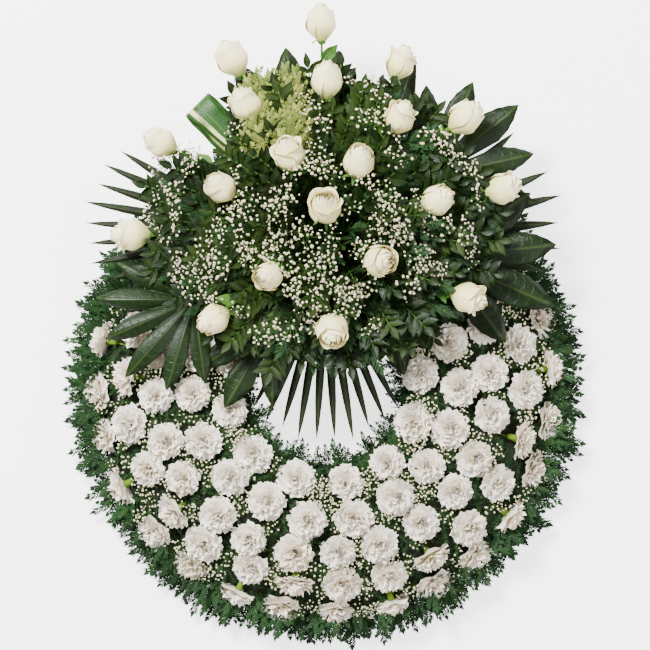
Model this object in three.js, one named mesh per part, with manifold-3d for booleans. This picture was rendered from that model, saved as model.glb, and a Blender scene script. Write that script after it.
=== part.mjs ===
// Funeral wreath of white carnations with a head spray of white roses.
// It lies on its back: +Z is the side that mourners see, +Y is the top of the wreath.
// Sizes are in millimetres. The model is built round the centre of the ring and
// moved at the end, so that the origin is the middle of its footprint.
import * as THREE from "three";
import { mergeVertices } from "three/addons/utils/BufferGeometryUtils.js";
import Module from "manifold-3d";

// Ring: a straw form with a flat back, an upright inner side and a long outer slope.
const CREST_RADIUS = 175; // the highest line of the ring
const INNER_HALF = 45; // from the crest to the inner side
const OUTER_HALF = 185; // from the crest to the outer side
const RING_HEIGHT = 92;
const INNER_SQUARENESS = 0.6; // under 1 makes the inner shoulder squarer
const FACE_STEP = 15; // degrees of one facet round the ring
const MAT_GAP = 0.4; // between the straw and the greenery pinned to it
const MAT_THICK = 7;
const MAT_OUTER = 6; // degrees on the section where the mat starts, above the foot
const MAT_INNER = 150; // and where it ends, inside the hole
const MAT_BELOW_TRAY = 30; // or below the tray of the head
const SEAT = 0.35; // between a bloom and the greenery below it

// Sectors of greenery and of carnations, counted from the bottom of the wreath.
const SECTOR = 30; // degrees
const SECTOR_GAP = 0.12; // degrees, half the gap between two mats
const FLOWER_SECTORS = 8; // the other four are under the head spray
const FLOWER_SPAN = (SECTOR * FLOWER_SECTORS) / 2;

// Carnations: [degrees on the ring's section, first place, step, count, extra droop].
const CARNATION_ROWS = [
  [102, -105, 29, 8, 0],
  [80, -106, 19.7, 12, 0],
  [62, -102, 15.2, 15, 2],
  [44.5, -106.4, 13.9, 16, 7],
  [25, -102.8, 13.2, 17, 14],
];
const CARNATION_RADIUS = 33;
const CARNATION_HEIGHT = 37;
const CARNATION_SKIRT = 15; // height of the outer petals above the greenery
const CARNATION_DIMPLE = 0.86; // share of the height, in the middle of a bloom
const PIN = { radius: 2.5, depth: 26, head: 6 }; // the stem that holds each bunch
const PETAL_CLEAR = 0.4; // from each bloom to the plane between two bunches
const PETAL_BITE = 2; // how far the petals of two linked blooms reach past their middle

// Greenery.
const FRINGE_RADIUS = 411; // the outer tips
const HOLE_RADIUS = 121; // the inner tips
const LEAF_WIDTH = 11;
const LEAF_THICK = 2.2;
const ROOT_SUNK = 3; // of a leaf in the mat
const OUTER_STEP = 4.8; // degrees from one pair of outer leaves to the next
const INNER_STEP = 6; // degrees from one inner leaf to the next
const LOW_TIPS = [14, 8, 3]; // heights tried for the tips of the lower outer leaves
const HIGH_TIPS = [44, 36, 28, 20]; // and of the upper ones
const INNER_RISES = [14, 6, -4]; // of the inner tips above their roots
const GAP_ROWS = [93, 70, 53, 35]; // section angles between the rows of carnations
const GAP_SPACING = 29; // at least, between two leaves that come up there

// Head spray: a block of wet foam in a tray, saddled on the top of the ring.
const FOAM = { x: 100, y0: 196, y1: 294, z0: 100.4, z1: 172 };
const TRAY = { x: 103, y0: 189, y1: 301, z0: 58, z1: 100 };
const HEART = new THREE.Vector3(0, 245, 112); // every stem points away from here
const STEM_DEPTH = 22; // of a stem in the foam
const STEM_CLEAR = 0.7; // between a stem and the corners of its hole
const HEAD_RADIUS = 310;
const ROSE_LOW = 165; // height of the outermost rose's base
const ROSE_RISE = 75; // how much higher the middle rose is
const ROSE_HEIGHT = 58;
const ROSE_RADIUS = 23;

// Roses: [x, y] of the middle of each bud, from the centre of the ring.
const ROSES = [
  [-7, 575], [-147, 518], [117, 511], [2, 482], [-125, 444], [115, 423], [219, 425],
  [-259, 386], [-57, 364], [51, 353], [-163, 313], [-1, 281], [174, 294], [278, 314],
  [-306, 241], [-89, 175], [84, 199], [223, 142], [-175, 108], [10, 92],
];

// Leaves of the head. hub is where the blade starts, azimuth the way it points from there,
// rise and arch its heights above the hub, open half the angle that its lobes spread over,
// and notch the share of its length where two lobes part.
const HAND_LEAVES = {
  right_low: { hub: [185, 206, 127], azimuth: -8.5, length: 191, lobes: 4, open: 60, lobeWidth: 56 },
  right_high: { hub: [166, 334, 118], azimuth: 26, length: 176, lobes: 6, open: 80, lobeWidth: 50 },
  top: { hub: [-40, 372, 120], azimuth: 98, length: 176, lobes: 5, open: 72, lobeWidth: 58 },
  left_low: { hub: [-208, 139, 132], azimuth: 216, length: 160, lobes: 6, open: 74, lobeWidth: 34 },
  bottom_left: { hub: [-80, 107, 131], azimuth: 240, length: 156, lobes: 3, open: 42, lobeWidth: 46 },
  bottom_right: { hub: [96, 123, 131], azimuth: 285, length: 104, lobes: 3, open: 50, lobeWidth: 38 },
};
const HAND_LEAF_FORMS = {
  right_low: { rise: 13, arch: 3, notch: 0.3 },
  right_high: { rise: 8, arch: 3, notch: 0.34 },
  top: { rise: 8, arch: 2, notch: 0.34 },
  left_low: { rise: 8, arch: 8, notch: 0.42 },
  bottom_left: { rise: 8, arch: 7, notch: 0.3 },
  bottom_right: { rise: 8, arch: 6, notch: 0.32 },
};
const OVAL_LEAF = { hub: [62, 302, 107], azimuth: 70, rise: 5, arch: 3, length: 234, width: 56 };
const ROLLED_LEAF = { hub: [-58, 303, 117], azimuth: 135, width: 56, reach: 208, lift: 27, tail: 0.34 };
const BLADE_THICK = 1.2;
const LOBE_WIDEST = 0.62; // share of a lobe's length
const LOBE_ROOM = 0.45; // share of the step between lobes that half a lobe may take
const RIB_HEIGHT = 3;
const PETIOLE_RADIUS = 2.4;

// Fan palm leaves: split is the share of the length where the segments part.
const PALMS = {
  bottom: { hub: [0, 181, 110], azimuth: 270, rise: -14, arch: 6, length: 266, segments: 10, open: 31.5 },
  left: { hub: [-112, 245, 109], azimuth: 173, rise: 6, arch: 4, length: 272, segments: 8, open: 28 },
  right: { hub: [112, 240, 109], azimuth: 14, rise: 3, arch: 4, length: 266, segments: 7, open: 32 },
};
const PALM_SPLIT = 0.57;
const PALM_PLEAT = 4;
const PALM_THICK = 1;

// Leafy branches and sprays of small florets: end is the tip of the main stem.
const BRANCHES = {
  left: { end: [-250, 322, 142], twigs: 4, twigLength: 56, leafLength: 44 },
  top: { end: [48, 420, 178], twigs: 6, twigLength: 74, leafLength: 56 },
  west: { end: [-104, 290, 202], twigs: 5, twigLength: 80, leafLength: 60 },
  east: { end: [108, 240, 204], twigs: 5, twigLength: 80, leafLength: 60 },
};
const LEAF_PAIRS = 2; // on each twig
const LEAFY_FROM = 128; // the heights between which twigs end
const LEAFY_TO = 232;
const SPRAYS = {
  top: { end: [20, 350, 205], reach: 95 },
  left: { end: [-140, 262, 188], reach: 95 },
  right: { end: [140, 292, 188], reach: 95 },
  middle: { end: [-30, 215, 220], reach: 80 },
  bottom: { end: [-40, 140, 195], reach: 90 },
};
const SPRAY_BRANCHES = 8;
const FLORETS = 2; // on each branch
const FLORET_RADIUS = 4.2;
const GOLDEN_TURN = 2.4; // radians between one twig and the next round a stem

const radians = THREE.MathUtils.degToRad;
const vector = (x, y, z) => new THREE.Vector3(x, y, z);
const UP = vector(0, 0, 1);

const wasm = await Module();
wasm.setup();

// A repeatable random number from 0 to 1.
let seed = 20260;
function random() {
  seed = (seed * 1664525 + 1013904223) % 4294967296;
  return seed / 4294967296;
}
const spread = (amount) => (random() * 2 - 1) * amount;

// A factor near 1 that differs from one member of a row to the next.
const varied = (index, amount) => 1 + amount * Math.sin(index * 2.4);

// A closed geometry from points and faces of three indices.
function geometryOf(points, faces) {
  const geometry = new THREE.BufferGeometry();
  const numbers = points.flatMap((p) => [p.x, p.y, p.z]);
  geometry.setAttribute("position", new THREE.Float32BufferAttribute(numbers, 3));
  geometry.setIndex(faces.flat());
  return geometry;
}

function solidOf(geometry) {
  const bare = geometry.clone();
  bare.deleteAttribute("normal");
  bare.deleteAttribute("uv");
  const merged = mergeVertices(bare, 1e-3);
  return new wasm.Manifold(
    new wasm.Mesh({
      numProp: 3,
      vertProperties: merged.attributes.position.array,
      triVerts: new Uint32Array(merged.index.array),
    }),
  );
}

const joined = (solids) => solids.reduce((all, one) => all.add(one));

function meshOf(solid, name, material) {
  const { vertProperties, triVerts } = solid.getMesh();
  const geometry = new THREE.BufferGeometry();
  geometry.setAttribute("position", new THREE.BufferAttribute(vertProperties, 3));
  geometry.setIndex(new THREE.BufferAttribute(triVerts, 1));
  geometry.computeVertexNormals();
  const mesh = new THREE.Mesh(geometry, material);
  mesh.name = name;
  return mesh;
}

// Triangles that close a flat end: a fan for a convex one, a ladder for a bent band whose
// second half of points runs back beside the first.
const fan = (count) => Array.from({ length: Math.max(0, count - 2) }, (_, i) => [0, i + 1, i + 2]);
const ladder = (count) =>
  Array.from({ length: count / 2 - 1 }, (_, i) => [
    [i, i + 1, count - 2 - i],
    [i, count - 2 - i, count - 1 - i],
  ]).flat();

// Rings of points from bottom to top, each anticlockwise seen from above, joined by a skin.
// A ring of one point is a pole; a longer first or last ring is capped flat.
function stack(rings, cap = fan) {
  const points = rings.flat();
  const starts = rings.map((_, i) => rings.slice(0, i).reduce((n, r) => n + r.length, 0));
  const faces = [];
  for (let k = 0; k + 1 < rings.length; k++) {
    const [a, b] = [rings[k].length, rings[k + 1].length];
    const low = (i) => starts[k] + (i % a);
    const high = (j) => starts[k + 1] + (j % b);
    let i = a === 1 ? 1 : 0;
    let j = b === 1 ? 1 : 0;
    while (i < a || j < b) {
      if (j >= b || (i < a && (i + 1) / a <= (j + 1) / b)) {
        faces.push([low(i), low(i + 1), high(j)]);
        i += 1;
      } else {
        faces.push([low(i), high(j + 1), high(j)]);
        j += 1;
      }
    }
  }
  const last = rings.length - 1;
  for (const [a, b, c] of cap(rings[0].length)) faces.push([a, c, b]);
  for (const triangle of cap(rings[last].length)) faces.push(triangle.map((i) => starts[last] + i));
  return solidOf(geometryOf(points, faces));
}

// A sheet of triangles, given thickness along Z.
function sheet(points, triangles, thickness) {
  const count = points.length;
  const half = vector(0, 0, thickness / 2);
  const both = [...points.map((p) => p.clone().add(half)), ...points.map((p) => p.clone().sub(half))];
  const faces = [];
  const edges = new Map();
  for (const [a, b, c] of triangles) {
    faces.push([a, b, c], [a + count, c + count, b + count]);
    for (const [p, q] of [[a, b], [b, c], [c, a]]) {
      if (edges.has(q + "_" + p)) edges.delete(q + "_" + p);
      else edges.set(p + "_" + q, [p, q]);
    }
  }
  for (const [p, q] of edges.values())
    faces.push([p + count, q + count, q], [p + count, q, p]);
  return solidOf(geometryOf(both, faces));
}

// A place at a radius and a turn round a centre, in the plane of two directions.
const around = (centre, u, v, radius, turn) =>
  centre.clone().addScaledVector(u, radius * Math.cos(turn)).addScaledVector(v, radius * Math.sin(turn));

// Two directions square to a third.
function crossAxes(direction) {
  const side = Math.abs(direction.z) > 0.9 ? vector(1, 0, 0) : UP.clone();
  const u = side.cross(direction).normalize();
  return [u, direction.clone().cross(u)];
}

function rod(from, to, radius, sides) {
  const direction = to.clone().sub(from).normalize();
  const [u, v] = crossAxes(direction);
  const ring = (centre) =>
    Array.from({ length: sides }, (_, i) => {
      const turn = (2 * Math.PI * i) / sides;
      return around(centre, u, v, radius, turn);
    });
  return stack([ring(from), ring(to)]);
}

// A stack whose rings may run either way round.
function eitherWay(rings, cap = fan) {
  const solid = stack(rings, cap);
  return solid.volume() > 0 ? solid : stack(rings.map((ring) => ring.toReversed()), cap);
}

// A pointed leaf, flat below and with a raised rib above: six triangles.
function leaf(root, tip, width, flat) {
  const along = tip.clone().sub(root);
  const side = along.clone().cross(flat).normalize();
  const rib = side.clone().cross(along).normalize();
  const middle = root.clone().addScaledVector(along, 0.45);
  const waist = [
    middle.clone().addScaledVector(rib, LEAF_THICK),
    middle.clone().addScaledVector(side, -width / 2),
    middle.clone().addScaledVector(side, width / 2),
  ];
  return eitherWay([[root], waist, [tip]]);
}

// Point and outward normal on the ring's section: 0 degrees is the outer foot,
// 90 the crest and 180 the inner foot. lift is the height above the straw.
function section(degrees, lift = 0) {
  const c = Math.cos(radians(degrees));
  const s = Math.sin(radians(degrees));
  const inner = degrees > 90;
  const power = inner ? INNER_SQUARENESS : 1;
  const half = inner ? INNER_HALF : OUTER_HALF;
  const across = Math.sign(c) * half * Math.abs(c) ** power;
  const height = RING_HEIGHT * s ** power;
  const normal = new THREE.Vector2(
    (Math.sign(c) * Math.abs(c) ** (2 - power)) / half,
    s ** (2 - power) / RING_HEIGHT,
  ).normalize();
  return { r: CREST_RADIUS + across + normal.x * lift, z: height + normal.y * lift, normal };
}

// The ring is faceted along these section angles, and every FACE_STEP round it.
const PROFILE = [0, 6, 18, 30, 44, 60, 78, 94, 112, 150, 180];

// The two neighbours of a value in a sorted list, and its share of the way between them.
function between(list, value) {
  const i = Math.max(0, Math.min(list.length - 2, list.findLastIndex((v) => v <= value)));
  return [list[i], list[i + 1], (value - list[i]) / (list[i + 1] - list[i])];
}

// Away from the middle of the ring. theta is counted in degrees from the bottom of the
// wreath, positive towards +X.
const outwards = (theta) => vector(Math.sin(radians(theta)), -Math.cos(radians(theta)), 0);

// A place on the faceted ring and the outward normal there.
function onRing(theta, degrees, lift) {
  const [low, high, share] = between(PROFILE, degrees);
  const [a, b] = [section(low, lift), section(high, lift)];
  const r = THREE.MathUtils.lerp(a.r, b.r, share);
  const z = THREE.MathUtils.lerp(a.z, b.z, share);
  const facet = Math.floor(theta / FACE_STEP) * FACE_STEP;
  const corner = (turn) => outwards(turn).multiplyScalar(r).setZ(z);
  const place = corner(facet).lerp(corner(facet + FACE_STEP), (theta - facet) / FACE_STEP);
  const { normal } = section(degrees);
  return { place, normal: outwards(theta).multiplyScalar(normal.x).setZ(normal.y) };
}

const materials = {
  straw: new THREE.MeshStandardMaterial({ color: 0x8a7444, roughness: 0.95 }),
  tray: new THREE.MeshStandardMaterial({ color: 0x16301c, roughness: 0.5 }),
  foam: new THREE.MeshStandardMaterial({ color: 0x2f5a35, roughness: 1 }),
  greens: new THREE.MeshStandardMaterial({ color: 0x24452a, roughness: 0.75 }),
  carnation: new THREE.MeshStandardMaterial({ color: 0xe9e1d6, roughness: 0.8 }),
  rose: new THREE.MeshStandardMaterial({ color: 0xf1eacb, roughness: 0.6 }),
  palm: new THREE.MeshStandardMaterial({ color: 0x26381d, roughness: 0.55 }),
  leaf: new THREE.MeshStandardMaterial({ color: 0x1d3b22, roughness: 0.35 }),
  breath: new THREE.MeshStandardMaterial({ color: 0xf4efe0, roughness: 0.8 }),
};

function strawForm(lift = 0) {
  const profile = PROFILE.map((degrees) => section(degrees, lift));
  const points = profile.map(({ r, z }) => new THREE.Vector2(r, z));
  points.push(points[0].clone());
  return solidOf(new THREE.LatheGeometry(points, 360 / FACE_STEP).rotateX(Math.PI / 2));
}

// One sector of greenery: a mat that follows the straw up to a section angle.
function mat(from, to, highest) {
  const profile = PROFILE.filter((degrees) => degrees >= MAT_OUTER && degrees <= highest);
  const turns = [from + SECTOR_GAP];
  for (let k = Math.floor(from / FACE_STEP) + 1; k * FACE_STEP < to; k++) turns.push(k * FACE_STEP);
  turns.push(to - SECTOR_GAP);
  const slice = (theta) => [
    ...profile.map((degrees) => onRing(theta, degrees, MAT_GAP + MAT_THICK).place),
    ...profile.toReversed().map((degrees) => onRing(theta, degrees, MAT_GAP).place),
  ];
  return eitherWay(turns.map(slice), ladder);
}

// The carnations' places, each with its bunch, its axis and the middle of its skirt.
const carnations = CARNATION_ROWS.flatMap(([degrees, first, step, count, droop]) =>
  Array.from({ length: count }, (_, i) => {
    const theta = first + step * i + spread(1.2);
    const { place, normal } = onRing(theta, degrees + spread(1.5), MAT_GAP + MAT_THICK + SEAT);
    const tangent = UP.clone().cross(outwards(theta));
    const axis = normal.applyAxisAngle(tangent, radians(droop + spread(5)));
    return {
      place,
      axis,
      size: 1 + spread(0.06),
      roll: random() * 360,
      sector: Math.min(FLOWER_SECTORS - 1, Math.floor((theta + FLOWER_SPAN) / SECTOR)),
      centre: place.clone().addScaledVector(axis, CARNATION_SKIRT),
    };
  }),
);

// The shortest links that hold each bunch together, from a chosen start outwards.
function linksOf(bunch) {
  const held = [bunch[0]];
  const loose = bunch.slice(1);
  const links = [];
  while (loose.length) {
    let best = null;
    for (const a of held)
      for (const b of loose) {
        const distance = a.centre.distanceTo(b.centre);
        if (!best || distance < best.distance) best = { a, b, distance };
      }
    links.push(best);
    held.push(best.b);
    loose.splice(loose.indexOf(best.b), 1);
  }
  return links;
}

const midpoint = (a, b) => a.centre.clone().add(b.centre).multiplyScalar(0.5);
const nearestTo = (place, points) =>
  points.reduce((best, p) => (p.distanceTo(place) < best.distanceTo(place) ? p : best));

// Layers of a carnation: [points, share of radius at tip and notch, share of height at both].
const CARNATION_LAYERS = [
  [12, 1, 0.86, 0.46, 0.34],
  [6, 0.66, 0.66, 0.43, 0.43],
  [8, 0.76, 0.6, 0.82, 0.7],
  [5, 0.42, 0.42, 1, 1],
];

function carnation(bloom, links, bite) {
  const turn = new THREE.Quaternion().setFromUnitVectors(UP, bloom.axis);
  const radius = CARNATION_RADIUS * bloom.size;
  const height = CARNATION_HEIGHT * bloom.size;
  const toWorld = (p) => p.applyQuaternion(turn).add(bloom.place);
  const rings = CARNATION_LAYERS.map(([count, tip, notch, tipHeight, notchHeight]) =>
    Array.from({ length: count }, (_, i) => {
      const angle = radians(bloom.roll + (360 * i) / count);
      const out = radius * (i % 2 ? notch : tip) * (1 + spread(0.05));
      const up = height * (i % 2 ? notchHeight : tipHeight);
      return toWorld(vector(out * Math.cos(angle), out * Math.sin(angle), up));
    }),
  );
  // Petals stop short of the next bunch, and meet the blooms that they are linked to.
  for (const other of carnations) {
    const distance = other.centre.distanceTo(bloom.centre);
    if (other.sector === bloom.sector || distance > 3 * CARNATION_RADIUS) continue;
    const direction = other.centre.clone().sub(bloom.centre).normalize();
    const middle = midpoint(bloom, other);
    for (const p of rings.flat()) {
      const past = p.clone().sub(middle).dot(direction) + PETAL_CLEAR;
      if (past > 0) p.addScaledVector(direction, -past);
    }
  }
  for (const other of links) {
    const meeting = midpoint(bloom, other);
    const direction = other.centre.clone().sub(bloom.centre).normalize();
    const tips = rings[0].filter((_, i) => i % 2 === 0);
    const nearest = nearestTo(meeting, tips);
    const reach = nearest.clone().sub(meeting).dot(direction);
    if (reach < bite) nearest.copy(meeting).addScaledVector(direction, bite);
  }
  return stack([[bloom.place.clone()], ...rings, [toWorld(vector(0, 0, height * CARNATION_DIMPLE))]]);
}

// The stem that pins a bunch to the straw, under the bloom nearest to its middle.
const bunchOf = (sector) => carnations.filter((bloom) => bloom.sector === sector);
function pinOf(sector, radius = PIN.radius, extra = 0) {
  const bunch = bunchOf(sector);
  const sum = bunch.reduce((total, { place }) => total.add(place), vector(0, 0, 0));
  const place = nearestTo(
    sum.divideScalar(bunch.length),
    bunch.map((bloom) => bloom.place),
  );
  const { axis } = bunch.find((bloom) => bloom.place === place);
  const low = place.clone().addScaledVector(axis, -PIN.depth - extra);
  return rod(low, place.clone().addScaledVector(axis, PIN.head + extra), radius, 4);
}

// A bunch is one body: its petals reach further into each other until it is.
function carnationBunch(sector) {
  const bunch = bunchOf(sector);
  const links = linksOf(bunch);
  const partners = (bloom) =>
    links.filter(({ a, b }) => a === bloom || b === bloom).map(({ a, b }) => (a === bloom ? b : a));
  const start = seed;
  let solid;
  for (let bite = PETAL_BITE; bite < 6 * PETAL_BITE; bite += PETAL_BITE) {
    seed = start;
    const blooms = bunch.map((bloom) => carnation(bloom, partners(bloom), bite));
    solid = joined([...blooms, pinOf(sector)]);
    if (solid.decompose().length === 1) break;
  }
  return solid;
}

// The first of some leaves that touches none of the blooms.
const apart = (a, b) => a.intersect(b).isEmpty();
const freeLeaf = (choices, blooms) => choices.find((one) => blooms.every((bunch) => apart(bunch, one)));

// The degrees that half a leaf's width takes at a radius, so that it stays in its sector.
const margin = (radius) => THREE.MathUtils.radToDeg((LEAF_WIDTH * 0.7) / radius);

// Leaves that point out of the mat all round its two edges.
function fringeLeaves(from, to, blooms, hasInner) {
  const leaves = [];
  const outer = 2 * Math.round((to - from) / OUTER_STEP);
  for (let i = 0; i < outer; i++) {
    const low = i % 2 === 0;
    const edge = margin(300);
    const theta = from + edge + ((i + 0.5) * (to - from - 2 * edge)) / outer;
    const reach = FRINGE_RADIUS - (low ? 0 : 9) - random() * 14;
    const aim = THREE.MathUtils.clamp(theta + spread(2.6), from + edge, to - edge);
    const root = onRing(theta, low ? 8 : 15, MAT_THICK - ROOT_SUNK).place;
    const choices = (low ? LOW_TIPS : HIGH_TIPS).map((height) => {
      const tip = outwards(aim).multiplyScalar(reach).setZ(height + spread(2));
      return leaf(root, tip, LEAF_WIDTH, UP);
    });
    const chosen = freeLeaf(choices, blooms);
    if (chosen) leaves.push(chosen);
  }
  const inner = hasInner ? Math.round((to - from) / INNER_STEP) : 0;
  for (let i = 0; i < inner; i++) {
    const edge = margin(HOLE_RADIUS);
    const theta = from + edge + ((i + 0.5) * (to - from - 2 * edge)) / inner;
    const root = onRing(theta, i % 2 ? 120 : 146, MAT_THICK - ROOT_SUNK).place;
    const choices = INNER_RISES.map((rise) => {
      const tip = outwards(theta).multiplyScalar(HOLE_RADIUS).setZ(root.z + rise);
      return leaf(root, tip, LEAF_WIDTH, UP);
    });
    const chosen = freeLeaf(choices, blooms);
    if (chosen) leaves.push(chosen);
  }
  return leaves;
}

// Leaves that come up between the carnations, wherever there is room for one.
function gapLeaves(from, to, blooms) {
  const leaves = [];
  const roots = [];
  for (const degrees of GAP_ROWS) {
    const edge = margin(section(degrees).r);
    for (let theta = from + edge; theta < to - edge; theta += 1.7) {
      const { place, normal } = onRing(theta, degrees, MAT_THICK - ROOT_SUNK);
      if (roots.some((r) => r.distanceTo(place) < GAP_SPACING)) continue;
      const away = outwards(theta);
      const tip = place.clone().addScaledVector(normal, 33 + random() * 6).addScaledVector(away, 3);
      const wide = leaf(place, tip.clone().addScaledVector(normal, 2), LEAF_WIDTH + 2, away);
      if (!freeLeaf([wide], blooms)) continue;
      roots.push(place);
      leaves.push(leaf(place, tip, LEAF_WIDTH, away));
    }
  }
  return leaves;
}

// Head spray. Every stem is noted, so that the foam gets a plain hole for it.
const stems = [];

// Where a line from the foam's heart leaves the foam.
function foamFace(direction) {
  const limits = [
    direction.x > 0 ? FOAM.x : -FOAM.x,
    (direction.y > 0 ? FOAM.y1 : FOAM.y0) - HEART.y,
    (direction.z > 0 ? FOAM.z1 : FOAM.z0) - HEART.z,
  ];
  const shares = [limits[0] / direction.x, limits[1] / direction.y, limits[2] / direction.z];
  return Math.min(...shares.filter((share) => share > 0 && Number.isFinite(share)));
}

// A stem from the foam to a place outside it, along the line from the foam's heart.
function stemTo(end, radius) {
  const direction = end.clone().sub(HEART).normalize();
  const start = HEART.clone().addScaledVector(direction, foamFace(direction) - STEM_DEPTH);
  stems.push({ start, direction, radius });
  return rod(start, end, radius, 3);
}

const ROSE_LAYERS = [
  [5, 0.46, 0.46, 0.05, 0.05],
  [10, 1.06, 0.98, 0.42, 0.36],
  [10, 1.02, 0.86, 0.8, 0.87],
  [5, 0.62, 0.62, 0.74, 0.74],
  [8, 0.58, 0.46, 1, 0.92],
];

// A rose: a bud of five layers along the line from the foam's heart, on its stem.
function rose([x, y], index) {
  const away = Math.min(1, Math.hypot(x - HEART.x, y - HEART.y) / HEAD_RADIUS);
  const height = ROSE_LOW + ROSE_RISE * (1 - away ** 2) + (ROSE_HEIGHT / 2) * (1 - away);
  const middle = vector(x, y, height);
  const axis = middle.clone().sub(HEART).normalize();
  const size = varied(index, 0.06);
  const base = middle.clone().addScaledVector(axis, (-ROSE_HEIGHT * size) / 2);
  const turn = new THREE.Quaternion().setFromUnitVectors(UP, axis);
  const toWorld = (p) => p.applyQuaternion(turn).add(base);
  const rings = ROSE_LAYERS.map(([count, tip, notch, tipHeight, notchHeight], layer) =>
    Array.from({ length: count }, (_, i) => {
      const angle = radians(index * 50 + layer * 11 + (360 * i) / count);
      const out = ROSE_RADIUS * size * (i % 2 ? notch : tip) * (1 + spread(0.04));
      const up = ROSE_HEIGHT * size * (i % 2 ? notchHeight : tipHeight);
      return toWorld(vector(out * Math.cos(angle), out * Math.sin(angle), up));
    }),
  );
  const bud = stack([...rings, [toWorld(vector(0, 0, ROSE_HEIGHT * size * 0.84))]]);
  return bud.add(stemTo(base.clone().addScaledVector(axis, 5), 2.2));
}

// Leaves and palms lie in the part's own plane: hub, direction and heights are given.
function leafFrame({ hub, azimuth, rise, arch, length }) {
  const [cos, sin] = [Math.cos(radians(azimuth)), Math.sin(radians(azimuth))];
  return (radius, angle, lift = 0) => {
    const [forward, left] = [radius * Math.cos(radians(angle)), radius * Math.sin(radians(angle))];
    const share = radius / length;
    return vector(
      hub[0] + forward * cos - left * sin,
      hub[1] + forward * sin + left * cos,
      hub[2] + rise * share + arch * Math.sin(Math.PI * Math.min(1, share)) + lift,
    );
  };
}

// A hand-shaped leaf: each lobe has a point, two shoulders and a raised rib.
function handLeaf(plan) {
  const { lobes, length, open, notch, lobeWidth } = plan;
  const at = leafFrame(plan);
  const points = [at(0, 0)];
  const triangles = [];
  const step = (2 * open) / lobes;
  for (let i = 0; i <= lobes; i++) points.push(at(length * notch, -open + step * i));
  for (let i = 0; i < lobes; i++) {
    const angle = -open + step * (i + 0.5);
    const reach = length * (1 - 0.22 * (angle / open) ** 2) * varied(i, 0.04);
    const wide = reach * LOBE_WIDEST;
    const half = Math.min(THREE.MathUtils.radToDeg(Math.atan(lobeWidth / 2 / wide)), LOBE_ROOM * step);
    const [right, left] = [1 + i, 2 + i];
    const base = points.length;
    points.push(at(wide, angle - half), at(reach, angle), at(wide, angle + half));
    points.push(at(wide, angle, RIB_HEIGHT));
    const [low, tip, high, rib] = [base, base + 1, base + 2, base + 3];
    triangles.push([0, right, rib], [0, rib, left]);
    triangles.push([right, low, rib], [rib, high, left]);
    triangles.push([low, tip, rib], [rib, tip, high]);
  }
  return sheet(points, triangles, BLADE_THICK).add(stemTo(at(length * 0.06, 0), PETIOLE_RADIUS));
}

// A long oval leaf with waved edges, folded along its rib.
function ovalLeaf(plan) {
  const { length, width } = plan;
  const at = leafFrame(plan);
  const across = (share, hand) => {
    const half = (width / 2) * Math.sin(Math.PI * share ** 0.8) ** 0.7;
    const angle = THREE.MathUtils.radToDeg(Math.atan2(half, share * length));
    return at(Math.hypot(share * length, half), hand * angle, RIB_HEIGHT + Math.sin(share * 20));
  };
  const points = [at(0, 0)];
  const triangles = [];
  for (let share = 0.12; share < 0.95; share += 0.15)
    points.push(across(share, -1), at(share * length, 0), across(share, 1));
  points.push(at(length, 0));
  const last = points.length - 1;
  triangles.push([0, 1, 2], [0, 2, 3]);
  for (let i = 1; i + 5 < last; i += 3)
    triangles.push([i, i + 3, i + 4], [i, i + 4, i + 1], [i + 1, i + 4, i + 5], [i + 1, i + 5, i + 2]);
  triangles.push([last - 3, last, last - 2], [last - 2, last, last - 1]);
  return sheet(points, triangles, BLADE_THICK).add(stemTo(at(length * 0.06, 0), PETIOLE_RADIUS));
}

// A fan palm leaf: pleated segments, joined near the hub and free beyond.
function fanPalm(plan) {
  const { segments, length, open } = plan;
  const at = leafFrame(plan);
  const points = [at(0, 0)];
  const triangles = [];
  const step = (2 * open) / segments;
  for (let i = 0; i <= segments; i++) points.push(at(length * PALM_SPLIT, -open + step * i));
  for (let i = 0; i < segments; i++) {
    const angle = -open + step * (i + 0.5);
    const reach = length * (1 - 0.1 * (angle / open) ** 2) * varied(i, 0.02);
    const base = points.length;
    points.push(at(length * PALM_SPLIT * 1.12, angle, PALM_PLEAT), at(reach, angle));
    const [right, left, rib, tip] = [1 + i, 2 + i, base, base + 1];
    triangles.push([0, right, rib], [0, rib, left], [right, tip, rib], [rib, tip, left]);
  }
  return sheet(points, triangles, PALM_THICK).add(stemTo(at(length * 0.05, 0), 3));
}

// A strap leaf rolled over at its end, as florists fold aspidistra.
function rolledLeaf({ hub, azimuth, width, reach, lift, tail }) {
  const flat = vector(Math.cos(radians(azimuth)), Math.sin(radians(azimuth)), 0);
  const side = UP.clone().cross(flat);
  const origin = vector(...hub);
  // Along the strap: share of the reach, height above the hub and share of the width.
  const curl = [
    [0, 0, 0.25], [0.3, 0, 0.8], [0.62, 1, 1], [0.86, 6, 1], [0.99, lift * 0.3, 0.95],
    [1, lift * 0.68, 0.9], [0.9, lift * 0.96, 0.8], [tail, lift, 0.4],
  ];
  const slices = curl.map(([share, up, wide], i) => {
    const [before, after] = [curl[Math.max(0, i - 1)], curl[Math.min(curl.length - 1, i + 1)]];
    const run = vector((after[0] - before[0]) * reach, 0, after[1] - before[1]).normalize();
    const square = flat.clone().multiplyScalar(-run.z).addScaledVector(UP, run.x);
    const centre = origin.clone().addScaledVector(flat, share * reach).addScaledVector(UP, up);
    const corners = [[-1, -1], [-1, 1], [1, 1], [1, -1]];
    return corners.map(([hand, face]) =>
      centre
        .clone()
        .addScaledVector(side, (hand * width * wide) / 2)
        .addScaledVector(square, (face * BLADE_THICK) / 2),
    );
  });
  return eitherWay(slices).add(stemTo(origin.clone().addScaledVector(flat, 8), PETIOLE_RADIUS));
}

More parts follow.
